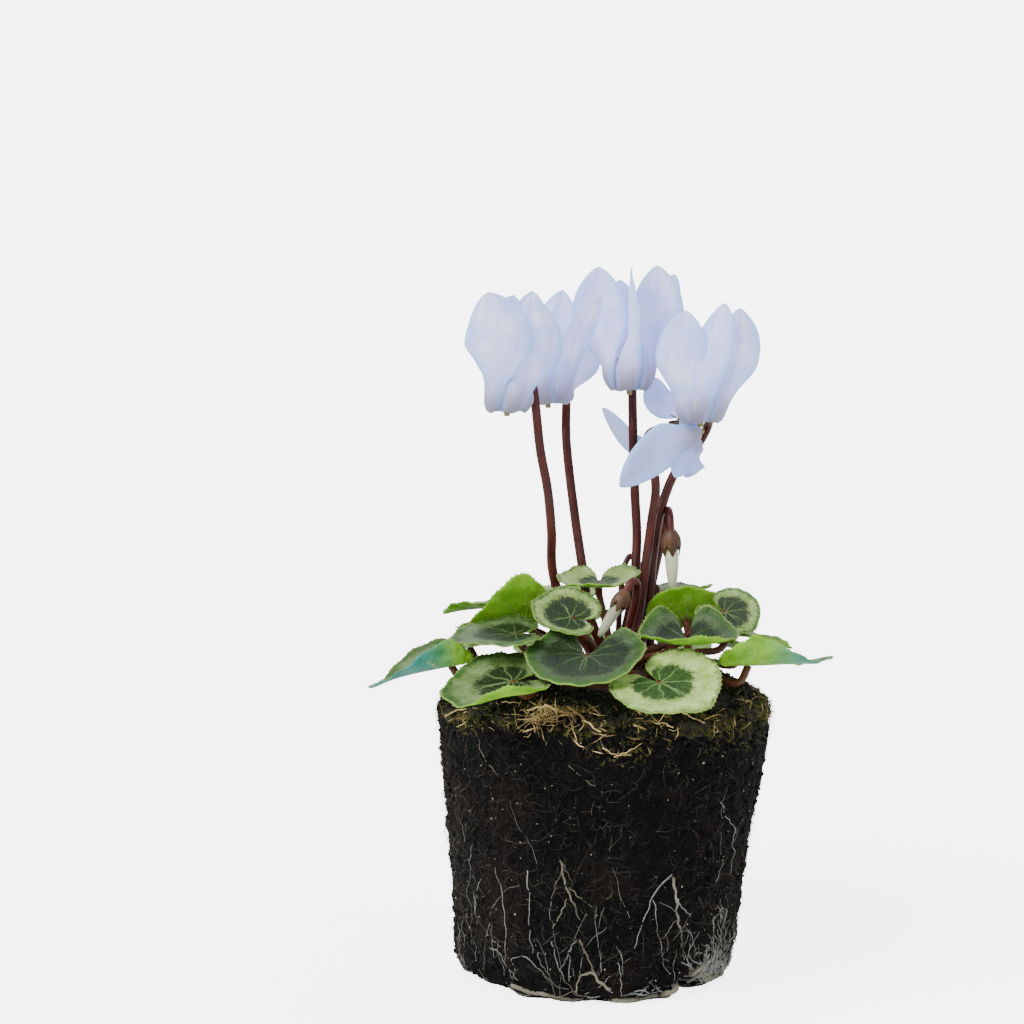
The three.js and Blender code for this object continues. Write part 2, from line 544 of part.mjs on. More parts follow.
function bloomMeshes(name, bloom) {
  const frame = bloomFrame(bloom);
  const [mouth, along] = footOf(frame);
  const away = at(...bloom.out).normalize();
  const top = BLOOM.cup + GAP;
  const on = (high, out) => mouth.clone().addScaledVector(along, high).addScaledVector(away, out);
  const hook = [...bloom.hook.map(([high, out]) => on(high, out)), on(top + 1.2, 0)];
  const down = bloom.stem.map((point) => at(...point)).reverse();
  const stem = stalk(bloom.root, [...down, ...hook], BLOOM.stem, STEM_SIDES, 18);
  const calyx = turned(
    [[0, top], [3.3, top], [3.9, top + 1], [2.6, top + 2.4], [1.5, top + 4], [0, top + 4]],
    STEM_SIDES,
    mouth,
    along,
  );
  let corolla = cup(frame);
  for (const spec of bloom.petals) corolla = corolla.add(petal(spec, frame));
  const tall = BLOOM.cup - BLOOM.wall - GAP;
  const style = turned([[0, -1], [0.6, -0.8], [0.6, 1], [2, 1.4], [2, tall], [0, tall]], 6, mouth, along);
  return [
    meshOf("bloom_" + name + "_petals", corolla.subtract(stemRoom(down, hook, mouth, along)), FINISH.petal),
    meshOf("bloom_" + name + "_stem", stem.add(calyx), FINISH.stem),
    meshOf("bloom_" + name + "_style", style, FINISH.style),
  ];
}

/** The room that a bloom's hook and calyx need among its petals. */
function stemRoom(down, hook, mouth, along) {
  const top = BLOOM.cup + GAP;
  const calyx = turned(
    [[0, BLOOM.cup + 0.01], [4.4, BLOOM.cup + 0.01], [4.4, top + 1.4], [2.2, top + 4.4], [0, top + 4.4]],
    8,
    mouth,
    along,
  );
  const path = new THREE.CatmullRomCurve3([...down.slice(-2), ...hook], false, "centripetal");
  return bar(path, BLOOM.stem + 0.7, 6, 10).add(calyx);
}

// ---- buds ----
const BUDS = {
  front: { calyx: [7.6, -24.5, 116.3], axis: [-0.5, -0.18, -0.82], size: 0.82, hook: [[10.5, -18.5, 113], [10.8, -20.5, 118.3], [9.4, -23.2, 119]], stem: [[8, -12, 102]], root: [-70, 0.42] },
  white: { calyx: [21.6, 3, 133], axis: [0.04, 0, -1], size: 1, hook: [[19.4, 14.5, 130], [20.4, 14, 136], [21, 9, 139], [21.4, 5, 137.5]], stem: [[17.4, 10.2, 116], [13.4, 7.2, 102]], root: [28, 0.68] },
  small: { calyx: [12, 13, 122.5], axis: [0.1, -0.05, -1], size: 0.5, hook: [[6.8, 10, 116], [7.2, 10.5, 120], [9.5, 12, 124.5]], stem: [[6, 9, 106]], root: [80, 0.5] },
};

function budMeshes(name, bud) {
  const along = at(...bud.axis).normalize();
  const foot = at(...bud.calyx);
  const scale = (profile) => profile.map(([radius, high]) => [radius * bud.size, high * bud.size]);
  const thick = name === "small" ? 0.9 : 1.25;
  const neck = foot.clone().addScaledVector(along, 1.5);
  const stem = stalk(bud.root, [...bud.stem, ...bud.hook].map((p) => at(...p)).concat(neck), thick, 5, 14);
  const calyx = turned(
    scale([[0, -0.5], [1.3, -0.5], [2.6, 1.6], [3.1, 4], [2.5, 6.2], [2.5, 5.2], [0, 5.2]]),
    8,
    foot,
    along,
  );
  const furled = turned(
    scale([[0, 5.2], [2, 5.2], [2.05, 8], [1.8, 12], [1.3, 16.5], [0.7, 18], [0, 18.3]]).map(([r, h]) => [r, h + GAP]),
    8,
    foot,
    along,
  );
  return [
    meshOf("bud_" + name + "_stem", stem.add(calyx), FINISH.stem),
    meshOf("bud_" + name + "_petals", furled, FINISH.bud),
  ];
}

// ---- the plant ----
const plant = new THREE.Group();
const soil = new THREE.Group();
const foliage = new THREE.Group();
const flowers = new THREE.Group();
plant.add(soil, foliage, flowers);
for (const [name, leaf] of Object.entries(LEAVES)) foliage.add(leafMesh(name, leaf));
for (const [name, bloom] of Object.entries(BLOOMS)) flowers.add(...bloomMeshes(name, bloom));
for (const [name, bud] of Object.entries(BUDS)) flowers.add(...budMeshes(name, bud));
const drilled = sockets.reduce((body, socket) => body.subtract(socket), tuberBody(0));
soil.add(rootBall(), mossMat(), rootNet(), meshOf("tuber", drilled, FINISH.tuber));

export default plant;
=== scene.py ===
"""A white mini cyclamen lifted out of its pot, dressed for a picture.

The pieces repeat the part's own measures, in millimetres, with finer surfaces, and
are made into meshes in metres. Leaves, petals, stems and buds are shaped in code.
Fibres, roots, straw, moss and the beads on the leaf margins are laid by
Geometry Nodes.
"""

import json
import math
import random

import bpy
import numpy as np
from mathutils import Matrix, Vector, noise

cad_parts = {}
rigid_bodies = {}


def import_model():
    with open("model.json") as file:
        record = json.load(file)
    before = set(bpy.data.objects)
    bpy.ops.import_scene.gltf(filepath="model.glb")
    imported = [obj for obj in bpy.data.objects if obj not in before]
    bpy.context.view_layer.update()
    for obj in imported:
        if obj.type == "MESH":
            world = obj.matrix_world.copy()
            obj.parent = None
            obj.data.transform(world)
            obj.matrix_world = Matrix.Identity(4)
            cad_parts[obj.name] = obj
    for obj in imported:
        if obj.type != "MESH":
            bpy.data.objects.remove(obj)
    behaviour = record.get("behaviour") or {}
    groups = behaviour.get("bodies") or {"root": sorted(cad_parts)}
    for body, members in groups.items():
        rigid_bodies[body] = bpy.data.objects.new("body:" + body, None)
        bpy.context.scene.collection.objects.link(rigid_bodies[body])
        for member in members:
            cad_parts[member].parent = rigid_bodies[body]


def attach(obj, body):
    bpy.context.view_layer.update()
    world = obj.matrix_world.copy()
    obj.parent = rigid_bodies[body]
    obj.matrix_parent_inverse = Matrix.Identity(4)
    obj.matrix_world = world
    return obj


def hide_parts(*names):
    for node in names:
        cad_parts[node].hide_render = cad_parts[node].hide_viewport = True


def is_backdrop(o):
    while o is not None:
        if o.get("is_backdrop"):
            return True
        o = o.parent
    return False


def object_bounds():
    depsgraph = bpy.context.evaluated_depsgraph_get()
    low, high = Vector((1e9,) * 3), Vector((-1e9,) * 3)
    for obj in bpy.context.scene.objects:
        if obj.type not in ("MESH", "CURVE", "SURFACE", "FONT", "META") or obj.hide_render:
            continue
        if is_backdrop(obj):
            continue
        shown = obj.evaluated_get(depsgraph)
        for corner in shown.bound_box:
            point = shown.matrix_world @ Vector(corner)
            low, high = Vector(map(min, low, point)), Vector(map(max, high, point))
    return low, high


MM = 0.001
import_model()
cad_box = [list(corner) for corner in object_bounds()]

# ---- measures, in millimetres ----
BALL = dict(height=84, base=42.6, top=52.2, foot=3.5, inset=3.2, shoulder=4, shift=-1.8, lean=3, sink=0.35)
NOTCH = dict(turn=0.84, half=0.1, depth=6)
TUBER = dict(x=4, y=0, z=84.5, radius=16.5, half=7.5)
MAT = dict(inner=17.5, width=33.4, rise=2, under=1, drop=4.6)
BLOOM = dict(cup=7.2, stem=1.45, foot=2.9, gap=0.35)
PETAL = dict(thick=0.36, columns=15, hood=0.1, flat=0.012)
LEAF = dict(thick=0.5, stalk=1.15, teeth=68, tooth=0.006)
BEAD = dict(width=0.00019, length=0.00024)

# A leaf: at is where its stalk meets the blade, then come its heading, pitch, roll and
# size, the curl of its two sides, and how its tip (bend), its lobes (lobe, back), its
# edges (fold) and its far half (narrow) turn; gap is the angle between its lobes, and
# root is [azimuth, share] on the tuber. habit is how silver its band is, how pale its
# margin is, how cool its colour is, and how far out the dark middle reaches.
PLAIN_LEAF = dict(roll=0, sides=(0.2, 0.2), bend=0, lobe=0.1, back=1, narrow=0, fold=(0, 0), gap=9)
LEAVES = {
    "front": dict(
        at=(-3.6, -38.2, 99.1), heading=-99, pitch=-18, size=19.6, sides=(0.2, 0.15), lobe=0.5,
        back=0.9, gap=24, root=(-112, 0.8), habit=(0.35, 0, 0, 0.66),
    ),
    "front_right": dict(
        at=(16.7, -49.4, 93.2), heading=-46, pitch=-15, roll=21, size=17.8, sides=(0.2, 0.15), back=0.9,
        gap=11, root=(-72, 0.86), habit=(0.95, 0.9, 0, 0.5),
    ),
    "mid_right": dict(
        at=(25.3, -29.1, 102.8), heading=-88, pitch=-12, size=16.5, bend=0.38, lobe=0.95, gap=14,
        root=(-58, 0.62), habit=(0.4, 0, 0, 0.6),
    ),
    "young": dict(
        at=(-8.4, -24, 108.6), heading=170, pitch=14, roll=-34, size=11.8, sides=(0.3, 0.3), bend=0.15,
        lobe=0.2, root=(-120, 0.45), habit=(0.78, 0.6, 0, 0.62),
    ),
    "left_mid": dict(
        at=(-24.5, -26.8, 104), heading=186, pitch=-3, roll=-9, size=18.2, sides=(0.1, 0.1), back=0.6,
        root=(-148, 0.62), habit=(0.5, 0.1, 0.15, 0.55),
    ),
    "left_up": dict(
        at=(-23, -4.6, 105.8), heading=190, pitch=-7, roll=17, size=20, sides=(0.75, 0.1), back=0.6,
        narrow=0.4, root=(178, 0.6), habit=(0.5, 0, 0, 0.5),
    ),
    "far_left": dict(
        at=(-44, -18, 93.6), heading=189, pitch=-8, roll=2, size=24, sides=(0.5, 0.4), bend=-0.12,
        lobe=0.2, back=0.4, narrow=0.3, root=(-162, 0.9), habit=(0.5, 0.2, 1.0, 0.5),
    ),
    "front_left": dict(
        at=(-24.5, -45.5, 92.6), heading=190, pitch=-10, roll=-18, size=19.5, sides=(0.1, 0.1),
        fold=(1.1, 0), lobe=0.05, back=0.75, gap=14, root=(-134, 0.88), habit=(0.85, 0.2, 0, 0.46),
    ),
    "right": dict(
        at=(43, -25, 95.2), heading=2, pitch=1, roll=-6, size=23.5, sides=(0.1, 0.5), bend=0.05,
        back=0.6, narrow=0.6, root=(-34, 0.85), habit=(0.5, 0.2, 0.85, 0.5),
    ),
    "small_right": dict(
        at=(37, -16, 109.6), heading=-40, pitch=-24, roll=34, size=10.8, sides=(0.2, 0.3),
        root=(-14, 0.72), habit=(0.8, 0.5, 0, 0.62),
    ),
    "right_up": dict(
        at=(26.3, -1.8, 105.7), heading=-90, pitch=46, size=14, bend=0.1, back=0.6, root=(-42, 0.4),
        habit=(0.5, 0.1, 0, 0.5),
    ),
    "saddle": dict(
        at=(-0.3, -5.2, 117.4), heading=-92, pitch=-13, size=14.5, sides=(0.35, 0.2), bend=0.25,
        lobe=0.6, back=0.8, root=(-95, 0.2), habit=(0.72, 0.66, 0, 0.42),
    ),
    "back_left": dict(
        at=(-30, 16, 107.8), heading=160, pitch=0, size=20, bend=-0.1, lobe=0.2, root=(160, 0.62),
        habit=(0.7, 0.3, 0, 0.5),
    ),
    "back_left_low": dict(
        at=(-42, 26, 94), heading=150, pitch=-10, size=21, bend=-0.1, lobe=0.2, root=(146, 0.88),
        habit=(0.4, 0, 0.2, 0.62),
    ),
    "back_high_left": dict(
        at=(-14, 20, 111), heading=128, pitch=6, size=17, sides=(0.3, 0.2), lobe=0.2, root=(138, 0.5),
        habit=(0.8, 0.6, 0, 0.5),
    ),
    "back_mid": dict(
        at=(-8, 38, 102), heading=105, pitch=-8, size=20, bend=-0.1, lobe=0.2, root=(108, 0.66),
        habit=(0.5, 0.1, 0, 0.6),
    ),
    "back_low": dict(
        at=(-12, 50, 92), heading=112, pitch=-20, size=19, sides=(0.15, 0.2), root=(118, 0.9),
        habit=(0.9, 0.4, 0, 0.5),
    ),
    "back_right_low": dict(
        at=(20, 48, 92), heading=68, pitch=-20, size=19, root=(82, 0.9), habit=(0.4, 0, 0.1, 0.64),
    ),
    "back_right": dict(
        at=(22, 29, 105.2), heading=62, pitch=-6, size=20, sides=(0.2, 0.3), root=(64, 0.66),
        habit=(0.7, 0.2, 0, 0.52),
    ),
    "right_mid": dict(
        at=(40.4, 8, 100.6), heading=12, pitch=-6, size=19, sides=(0.1, 0.15), bend=-0.1, back=0.8,
        root=(14, 0.82), habit=(0.5, 0, 0, 0.58),
    ),
    "right_low": dict(
        at=(46.2, 20.4, 93.8), heading=25, pitch=-14, size=19, root=(38, 0.9), habit=(0.8, 0.5, 0, 0.5),
    ),
    "back_high_right": dict(
        at=(22.5, 14, 112.4), heading=36, pitch=8, size=13.5, sides=(0.2, 0.3), lobe=0.2, back=0.7,
        root=(48, 0.5), habit=(0.6, 0.2, 0, 0.5),
    ),
}
LEAVES = {name: PLAIN_LEAF | leaf for name, leaf in LEAVES.items()}

# A bloom: mouth is the middle of the ring where the petals turn back, axis points from it
# to the petal tips, out is the way that the stem's hook leans, hook is [height, out] up
# the axis, and stem leads down to the tuber. A petal is its azimuth at the mouth, its
# middle and tip seen from the mouth, the azimuths that they face (or the ways across
# them) and its width, and may add where it is widest and how far its foot swells.
PLAIN_BLOOM = dict(axis=(0, 0, 1), hook=((4, 10.5), (10, 9), (13.5, 5.4), (13, 1.2)))
PLAIN_PETAL = (0.6, 0)
BLOOMS = {
    "a": dict(
        mouth=(-27.5, -16, 168.4), out=(0.75, 0.65, 0), root=(-170, 0.25),
        stem=((-18, -7, 157.5), (-15.9, -4, 145.5), (-14.8, -1, 133), (-14.5, 3, 120), (-9, 2, 104)),
        petals=(
            (222, (-2.4, -7.5, 21), (-5.3, -6.5, 35), 262, 260, 20.5),
            (158, (-1, 0.5, 22), (2, -1, 34.6), 262, 268, 16),
            (288, (8.4, -4, 20), (7.6, -3, 33.4), 287, 290, 17.5, 0.6, 1.7),
            (355, (7, 4, 21), (6, 5, 33), 330, 340, 15),
            (85, (-4, 7.5, 20), (-3, 7, 33), 110, 100, 15),
        ),
    ),
    "b": dict(
        mouth=(-16.1, 8, 171.5), out=(0.5, 0.85, 0), root=(115, 0.3),
        stem=((-10.6, 14, 160.7), (-7.7, 9, 136), (-5.2, 5, 120), (-3, 3, 106)),
        petals=(
            (195, (-6.5, -1, 20), (-4.7, -1, 35), 245, 250, 16),
            (262, (1.5, -5, 20), (4.6, -4, 35), 250, 255, 15),
            (315, (8.2, -9, 18), (16.2, -13, 32.5), 300, 290, 10),
            (10, (10, 0.5, 12), (12.5, -0.5, 23), 285, 280, 12),
            (110, (-4, 7, 20), (-3.5, 7, 33), 100, 100, 15),
        ),
    ),
    "c": dict(
        mouth=(8.9, 3, 175.4), out=(0.1, 1, 0), root=(55, 0.22),
        stem=((10.2, 10.5, 163), (10.4, 10, 154), (10.9, 9.5, 142), (11.4, 8, 129.7), (10, 5, 112)),
        petals=(
            (190, (-9, -1, 22), (-9.6, -1, 38), 262, 262, 17.5),
            (262, (0.3, -7, 20), (0.4, -6, 37), 188, 183, 15),
            (332, (8.5, -2, 22), (8.3, -2, 38), 285, 280, 17),
            (30, (9.5, 6.5, 21), (14, 6, 36.3), 310, 300, 15),
            (120, (-2, 9.5, 20), (-3, 9, 35), 95, 95, 14),
        ),
    ),
    "d": dict(
        mouth=(30, -9, 165.3), out=(0.25, 0.97, 0), root=(16, 0.44),
        stem=(
            (33.2, 8.5, 165), (29.5, 11.5, 158), (23.5, 10.5, 151), (18.8, 8, 139), (16.2, 6, 124), (14.8, 4.5, 108),
        ),
        petals=(
            (199, (-6, -3.1, 19), (-4.8, -3, 33.5), 258, 262, 15.8),
            (256, (3, -5.6, 22), (6.6, -4.5, 35.4), 240, 240, 13.2, 0.6, 1.6),
            (321, (10.5, -3.1, 22), (11.4, -3, 34), 292, 295, 15.6),
            (15, (7, 4, 20), (7, 5, 33), 335, 345, 14),
            (130, (-5, 6.5, 19), (-4, 7, 32), 118, 110, 14),
        ),
    ),
    "e": dict(
        mouth=(30.8, 3, 163.4), axis=(-1, 0, 0.1), out=(0, 0, -1), root=(-20, 0.3),
        hook=((17, 5.6), (15.6, 2.2), (12.4, 0.6)),
        stem=((16.4, 2.5, 151), (17, 2.5, 145), (15.8, 2.5, 136), (14.2, 2, 124), (12.2, 1, 109)),
        petals=(
            (15, (8.4, 4, 13.4), (15, 6, 15.6), 290, 285, 10),
            (80, (-6.5, 11, 18.1), (4.5, 16.5, 30.6), 250, 265, 7),
            (180, (-9.8, -2.5, 1.4), (-14.6, -3, 3.6), (0, -0.5, 0.9), (0, 0, 1), 8, 0.4),
            (255, (-6.8, -8.5, 12), (-19.4, -9, 22.9), 258, 262, 13.5, 0.42),
            (215, (-9.8, -4.5, 4.6), (-15, -5, 6.7), (0, -0.3, 0.9), (0, 0, 1), 8, 0.5),
        ),
    ),
}
BLOOMS = {name: PLAIN_BLOOM | bloom for name, bloom in BLOOMS.items()}

# A bud: where its calyx is and the way it points, its size, and its stem and hook, from
# the tuber up. A green bud is younger than a white one.
BUDS = {
    "front": dict(
        green=True, calyx=(7.6, -24.5, 116.3), axis=(-0.5, -0.18, -0.82), size=0.82, thick=1.25,
        hook=((10.5, -18.5, 113), (10.8, -20.5, 118.3), (9.4, -23.2, 119)), stem=((8, -12, 102),), root=(-70, 0.42),
    ),
    "white": dict(
        green=False, calyx=(21.6, 3, 133), axis=(0.04, 0, -1), size=1, thick=1.25,
        hook=((19.4, 14.5, 130), (20.4, 14, 136), (21, 9, 139), (21.4, 5, 137.5)),
        stem=((17.4, 10.2, 116), (13.4, 7.2, 102)), root=(28, 0.68),
    ),
    "small": dict(
        green=True, calyx=(12, 13, 122.5), axis=(0.1, -0.05, -1), size=0.5, thick=0.9,
        hook=((6.8, 10, 116), (7.2, 10.5, 120), (9.5, 12, 124.5)), stem=((6, 9, 106),), root=(80, 0.5),
    ),
}

# Roots and straws that can be told apart on the front: thickness, then where each runs
# as [across, height].
PALE_RUNS = (
    (0.16, (-38, 42.5), (-39.5, 33), (-40, 27), (-38.8, 20)),
    (0.17, (-30.5, 38), (-27.7, 29), (-27.4, 17), (-28.3, 10), (-25.8, 5.5)),
    (0.2, (-20.9, 38.5), (-20.2, 29), (-19.9, 20.5), (-19.4, 14.5)),
    (0.15, (-10.5, 40.5), (-13.5, 31.5), (-14, 25)),
    (0.15, (-11.3, 42.5), (-9.2, 39), (-7.6, 35.5)),
    (0.2, (20.8, 38), (16.6, 33.5), (13.3, 26.5), (10, 17)),
    (0.16, (15.8, 31), (16.6, 24), (18.1, 17), (20.5, 8)),
    (0.15, (23.2, 25), (21, 22), (18.2, 19)),
    (0.3, (22.4, 31), (24, 27.5), (26.6, 24.5)),
    (0.16, (5.8, 13), (6.2, 8), (6.4, 3)),
    (0.2, (-24.6, 8), (-24.6, 12), (-20.9, 13), (-17, 9.7), (-11.7, 5.5), (-8.6, 4.5)),
    (0.2, (-13.9, 18.5), (-11.7, 12), (-8.6, 5.6), (-6.4, 3.7)),
    (0.16, (-6.4, 19.5), (-8.6, 17), (-9.7, 14), (-11.7, 10)),
    (0.16, (-33, 17), (-28.5, 14)),
    (0.2, (-32.5, 13), (-30, 13), (-27.5, 8.5), (-24, 5.5)),
    (0.16, (-18.5, 17), (-16, 11), (-14, 9)),
    (0.2, (36, 57), (37.5, 52), (39.5, 48)),
    (0.2, (39.5, 48), (40, 40), (39.6, 33)),
)
SPLIT_RUNS = (
    (0.13, (-8.6, 70), (-4.5, 66), (-1, 64.2)),
    (0.12, (-37, 77), (-33, 69), (-28.5, 64)),
    (0.42, (-11.3, 42.5), (-9.4, 35.3), (-7, 29.5), (-5.8, 25.5)),
    (0.2, (-9.1, 31), (-11.5, 26), (-13.3, 22)),
    (0.18, (-8.6, 35), (-5, 32), (-2.2, 29.5)),
    (0.5, (21.2, 37), (22.4, 30), (22.8, 24), (24.3, 19)),
    (0.3, (24.1, 19), (24.9, 11.5)),
    (0.42, (-5.5, 19.5), (-3.3, 15), (-0.8, 8.5)),
    (0.5, (3, 5), (0.8, 7), (-2.2, 10), (-5.5, 8.5), (-6.9, 4)),
    (0.8, (-26, 3), (-16, 1.8), (-5, 1.4)),
    (0.8, (4, 1.4), (14, 1.4), (22, 2)),
    (1.1, (19, 1.6), (25, 4.5), (30, 7.5), (36, 11)),
    (0.9, (29, 5), (33, 5.5), (37, 9)),
    (0.8, (31, 3.5), (35, 4), (38.5, 8)),
)
STRAW_RUNS = (
    (0.4, (-9.5, 86), (-5, 83), (0.3, 80)),
    (0.3, (-17, 86.5), (-12, 85), (-6, 84)),
    (0.25, (-22, 84.5), (-16, 86), (-11, 84.5)),
    (0.3, (10, 86.5), (14.5, 82.5), (19, 81.5)),
    (0.25, (19, 81.5), (21, 80.5)),
    (0.3, (22.5, 86), (26, 83.5), (30, 81)),
    (0.3, (-46, 79), (-42, 82), (-38, 83)),
    (0.2, (-30.5, 86), (-25, 86.3)),
    (0.16, (0.5, 75.5), (4.5, 73.5), (8.5, 73.5)),
    (0.16, (4, 73), (9, 75), (12, 76.5)),
    (0.2, (-20, 83), (-14, 82.5), (-9, 85)),
)


# ---- vectors and paths ----
def unit(v):
    """Vectors at length one."""
    v = np.asarray(v, float)
    return v / np.maximum(np.linalg.norm(v, axis=-1, keepdims=True), 1e-12)


def sides_of(axis):
    """Two ways square to an axis and to each other."""
    side = unit(np.cross(axis, (0.2, 0.97, 0.1) if abs(axis[1]) < 0.9 else (1, 0, 0)))
    return side, np.cross(axis, side)


def smoothstep(x, low, high):
    t = np.clip((np.asarray(x, float) - low) / (high - low), 0, 1)
    return t * t * (3 - 2 * t)


def round_turns(count):
    """Angles round a circle."""
    return np.arange(count) / count * 2 * math.pi


def smooth_path(knots, fine=24):
    """A centripetal Catmull-Rom curve through knots, with as many points from each to the next."""
    knots = [np.asarray(k, float) for k in knots]
    knots = [2 * knots[0] - knots[1], *knots, 2 * knots[-1] - knots[-2]]
    points = []
    for p0, p1, p2, p3 in zip(knots, knots[1:], knots[2:], knots[3:]):
        d0, d1, d2 = (math.sqrt(np.linalg.norm(b - a)) for a, b in ((p0, p1), (p1, p2), (p2, p3)))
        d1 = d1 if d1 > 1e-4 else 1.0
        d0 = d0 if d0 > 1e-4 else d1
        d2 = d2 if d2 > 1e-4 else d1
        t1 = ((p1 - p0) / d0 - (p2 - p0) / (d0 + d1) + (p2 - p1) / d1) * d1
        t2 = ((p2 - p1) / d1 - (p3 - p1) / (d1 + d2) + (p3 - p2) / d2) * d1
        for t in np.linspace(0, 1, fine, endpoint=False):
            points.append(p1 + t1 * t + (3 * (p2 - p1) - 2 * t1 - t2) * t * t + (2 * (p1 - p2) + t1 + t2) * t**3)
    points.append(knots[-2])
    return np.array(points)


def along_path(points, shares):
    """Points and directions at shares of a path's length."""
    length = np.concatenate([[0], np.cumsum(np.linalg.norm(np.diff(points, axis=0), axis=1))])
    where = np.asarray(shares, float) * length[-1]
    at = lambda s: np.stack([np.interp(s, length, points[:, k]) for k in range(3)], axis=-1)
    step = length[-1] * 0.004
    ahead = unit(at(np.minimum(where + step, length[-1])) - at(np.maximum(where - step, 0)))
    return at(where), ahead


# ---- meshes ----
class Piece:
    """A piece in the making: shells of points and faces, each face with its finish."""

    def __init__(self, name, finishes=()):
        self.name, self.finishes = name, finishes
        self.points, self.faces, self.slots = [], [], []
        self.marks = {"place": [], "habit": []}

    def shell(self, points, faces, finish=0, place=None, habit=(0, 0, 0)):
        """Adds a shell; place and habit are noted at its points for the finishes to read."""
        start = sum(len(p) for p in self.points)
        points = np.asarray(points, float)
        self.points.append(points)
        self.faces += [tuple(start + i for i in face) for face in faces]
        self.slots += [finish] * len(faces) if isinstance(finish, int) else finish
        self.marks["place"].append(np.zeros_like(points) if place is None else np.asarray(place, float))
        self.marks["habit"].append(np.tile(np.asarray(habit, float), (len(points), 1)))

    def build(self, smooth=True):
        mesh = bpy.data.meshes.new(self.name)
        mesh.from_pydata((np.concatenate(self.points) * MM).tolist(), [], self.faces)
        for finish in self.finishes:
            mesh.materials.append(finish)
        mesh.polygons.foreach_set("material_index", self.slots)
        mesh.polygons.foreach_set("use_smooth", [smooth] * len(self.faces))
        for mark, values in self.marks.items():
            note(mesh, mark, "FLOAT_VECTOR", np.concatenate(values))
        mesh.validate()
        mesh.update()
        return shown(self.name, mesh)


def note(mesh, mark, form, values):
    """Notes a value at each point of a mesh."""
    kind = "vector" if form == "FLOAT_VECTOR" else "value"
    mesh.attributes.new(mark, form, "POINT").data.foreach_set(kind, np.ravel(values))


def shown(name, mesh):
    """A mesh as an object of the scene."""
    thing = bpy.data.objects.new(name, mesh)
    bpy.context.collection.objects.link(thing)
    return thing


def grid_faces(rows, columns, ring=False):
    """Quads of a grid of rows and columns of points; ring closes each row on itself."""
    corner = lambda r, c: r * columns + c % columns
    return [
        (corner(r, c), corner(r, c + 1), corner(r + 1, c + 1), corner(r + 1, c))
        for r in range(rows - 1)
        for c in range(columns if ring else columns - 1)
    ]


def grid_rim(rows, columns):
    """The points round the edge of a grid, in turn."""
    last = (rows - 1) * columns
    return [
        *range(columns), *(r * columns + columns - 1 for r in range(1, rows)),
        *range(last + columns - 2, last - 1, -1), *(r * columns for r in range(rows - 2, 0, -1)),
    ]


def end_fans(rows, sides):
    """Triangles that close a tube of rings; its two end points follow its rings."""
    after = [(k + 1) % sides for k in range(sides)]
    start, end, top = rows * sides, rows * sides + 1, (rows - 1) * sides
    return [(after[k], k, start) for k in range(sides)] + [(top + k, top + after[k], end) for k in range(sides)]


def surface_normals(points, faces):
    """Mean normals of a surface at its points."""
    normals = np.zeros_like(points)
    quads = np.array([f if len(f) == 4 else (*f, f[2]) for f in faces])
    a, b, c, d = (points[quads[:, k]] for k in range(4))
    three = quads[:, 2] == quads[:, 3]
    across = np.where(three[:, None], np.cross(b - a, c - a), np.cross(c - a, d - b))
    for k in range(4):
        np.add.at(normals, quads[:, k], across)
    return unit(normals)


def sheet_shell(piece, points, faces, rim, thick, finishes, place, habit=(0, 0, 0), edge=0.35):
    """A middle surface with a front, a back and a thin wall round its rim."""
    normals = surface_normals(points, faces)
    half = np.full(len(points), thick / 2)
    half[rim] *= edge
    front, back = points + normals * half[:, None], points - normals * half[:, None]
    count = len(points)
    walls = [(a, a + count, b + count, b) for a, b in zip(rim, [*rim[1:], rim[0]])]
    under = [tuple(i + count for i in reversed(face)) for face in faces]
    slots = [finishes[0]] * len(faces) + [finishes[1]] * (len(under) + len(walls))
    piece.shell(np.concatenate([front, back]), [*faces, *under, *walls], slots, np.concatenate([place, place]), habit)


def tube_shell(piece, spots, ahead, radii, sides, finish=0, ridges=0.0, taper=0.6):
    """A closed tube along a path; place holds its turn, its length so far and its radius."""
    side = unit(np.cross(ahead[0], (0.31, 0.95, 0.05)))
    rings, marks, run = [], [], 0.0
    turns = round_turns(sides)
    for k, (spot, way) in enumerate(zip(spots, ahead)):
        side = unit(side - way * np.dot(side, way))
        other = np.cross(way, side)
        run += 0 if k == 0 else np.linalg.norm(spot - spots[k - 1])
        radius = radii[k] * (1 + ridges * np.cos(5 * turns + 0.02 * run))
        rings.append(spot + np.outer(np.cos(turns) * radius, side) + np.outer(np.sin(turns) * radius, other))
        marks.append(np.stack([turns, np.full(sides, run), np.full(sides, radii[k])], axis=1))
    ends = np.stack([spots[0] - ahead[0] * radii[0] * taper, spots[-1] + ahead[-1] * radii[-1] * taper])
    marks.append(np.array([[0, 0, radii[0]], [0, run, radii[-1]]]))
    faces = grid_faces(len(spots), sides, ring=True) + end_fans(len(spots), sides)
    piece.shell(np.concatenate([*rings, ends]), faces, finish, np.concatenate(marks))


def turned_shell(piece, profile, sides, foot, axis, finish=0, waves=lambda turns, row: 1):
    """A turned body with [radius, height] points; waves(turns, row) scales its radius."""
    axis = unit(axis)
    side, other = sides_of(axis)
    turns = round_turns(sides)
    rings, marks = [], []
    for row, (radius, high) in enumerate(profile):
        wide = np.broadcast_to(radius * waves(turns, row), (sides,))
        centre = np.asarray(foot) + axis * high
        rings.append(centre + np.outer(np.cos(turns) * wide, side) + np.outer(np.sin(turns) * wide, other))
        marks.append(np.stack([turns, np.full(sides, high), np.full(sides, radius)], axis=1))
    ends = np.stack([rings[0].mean(0), rings[-1].mean(0)])
    marks.append(np.array([[0, profile[0][1], 0], [0, profile[-1][1], 0]]))
    faces = grid_faces(len(profile), sides, ring=True) + end_fans(len(profile), sides)
    piece.shell(np.concatenate([*rings, ends]), faces, finish, np.concatenate(marks))


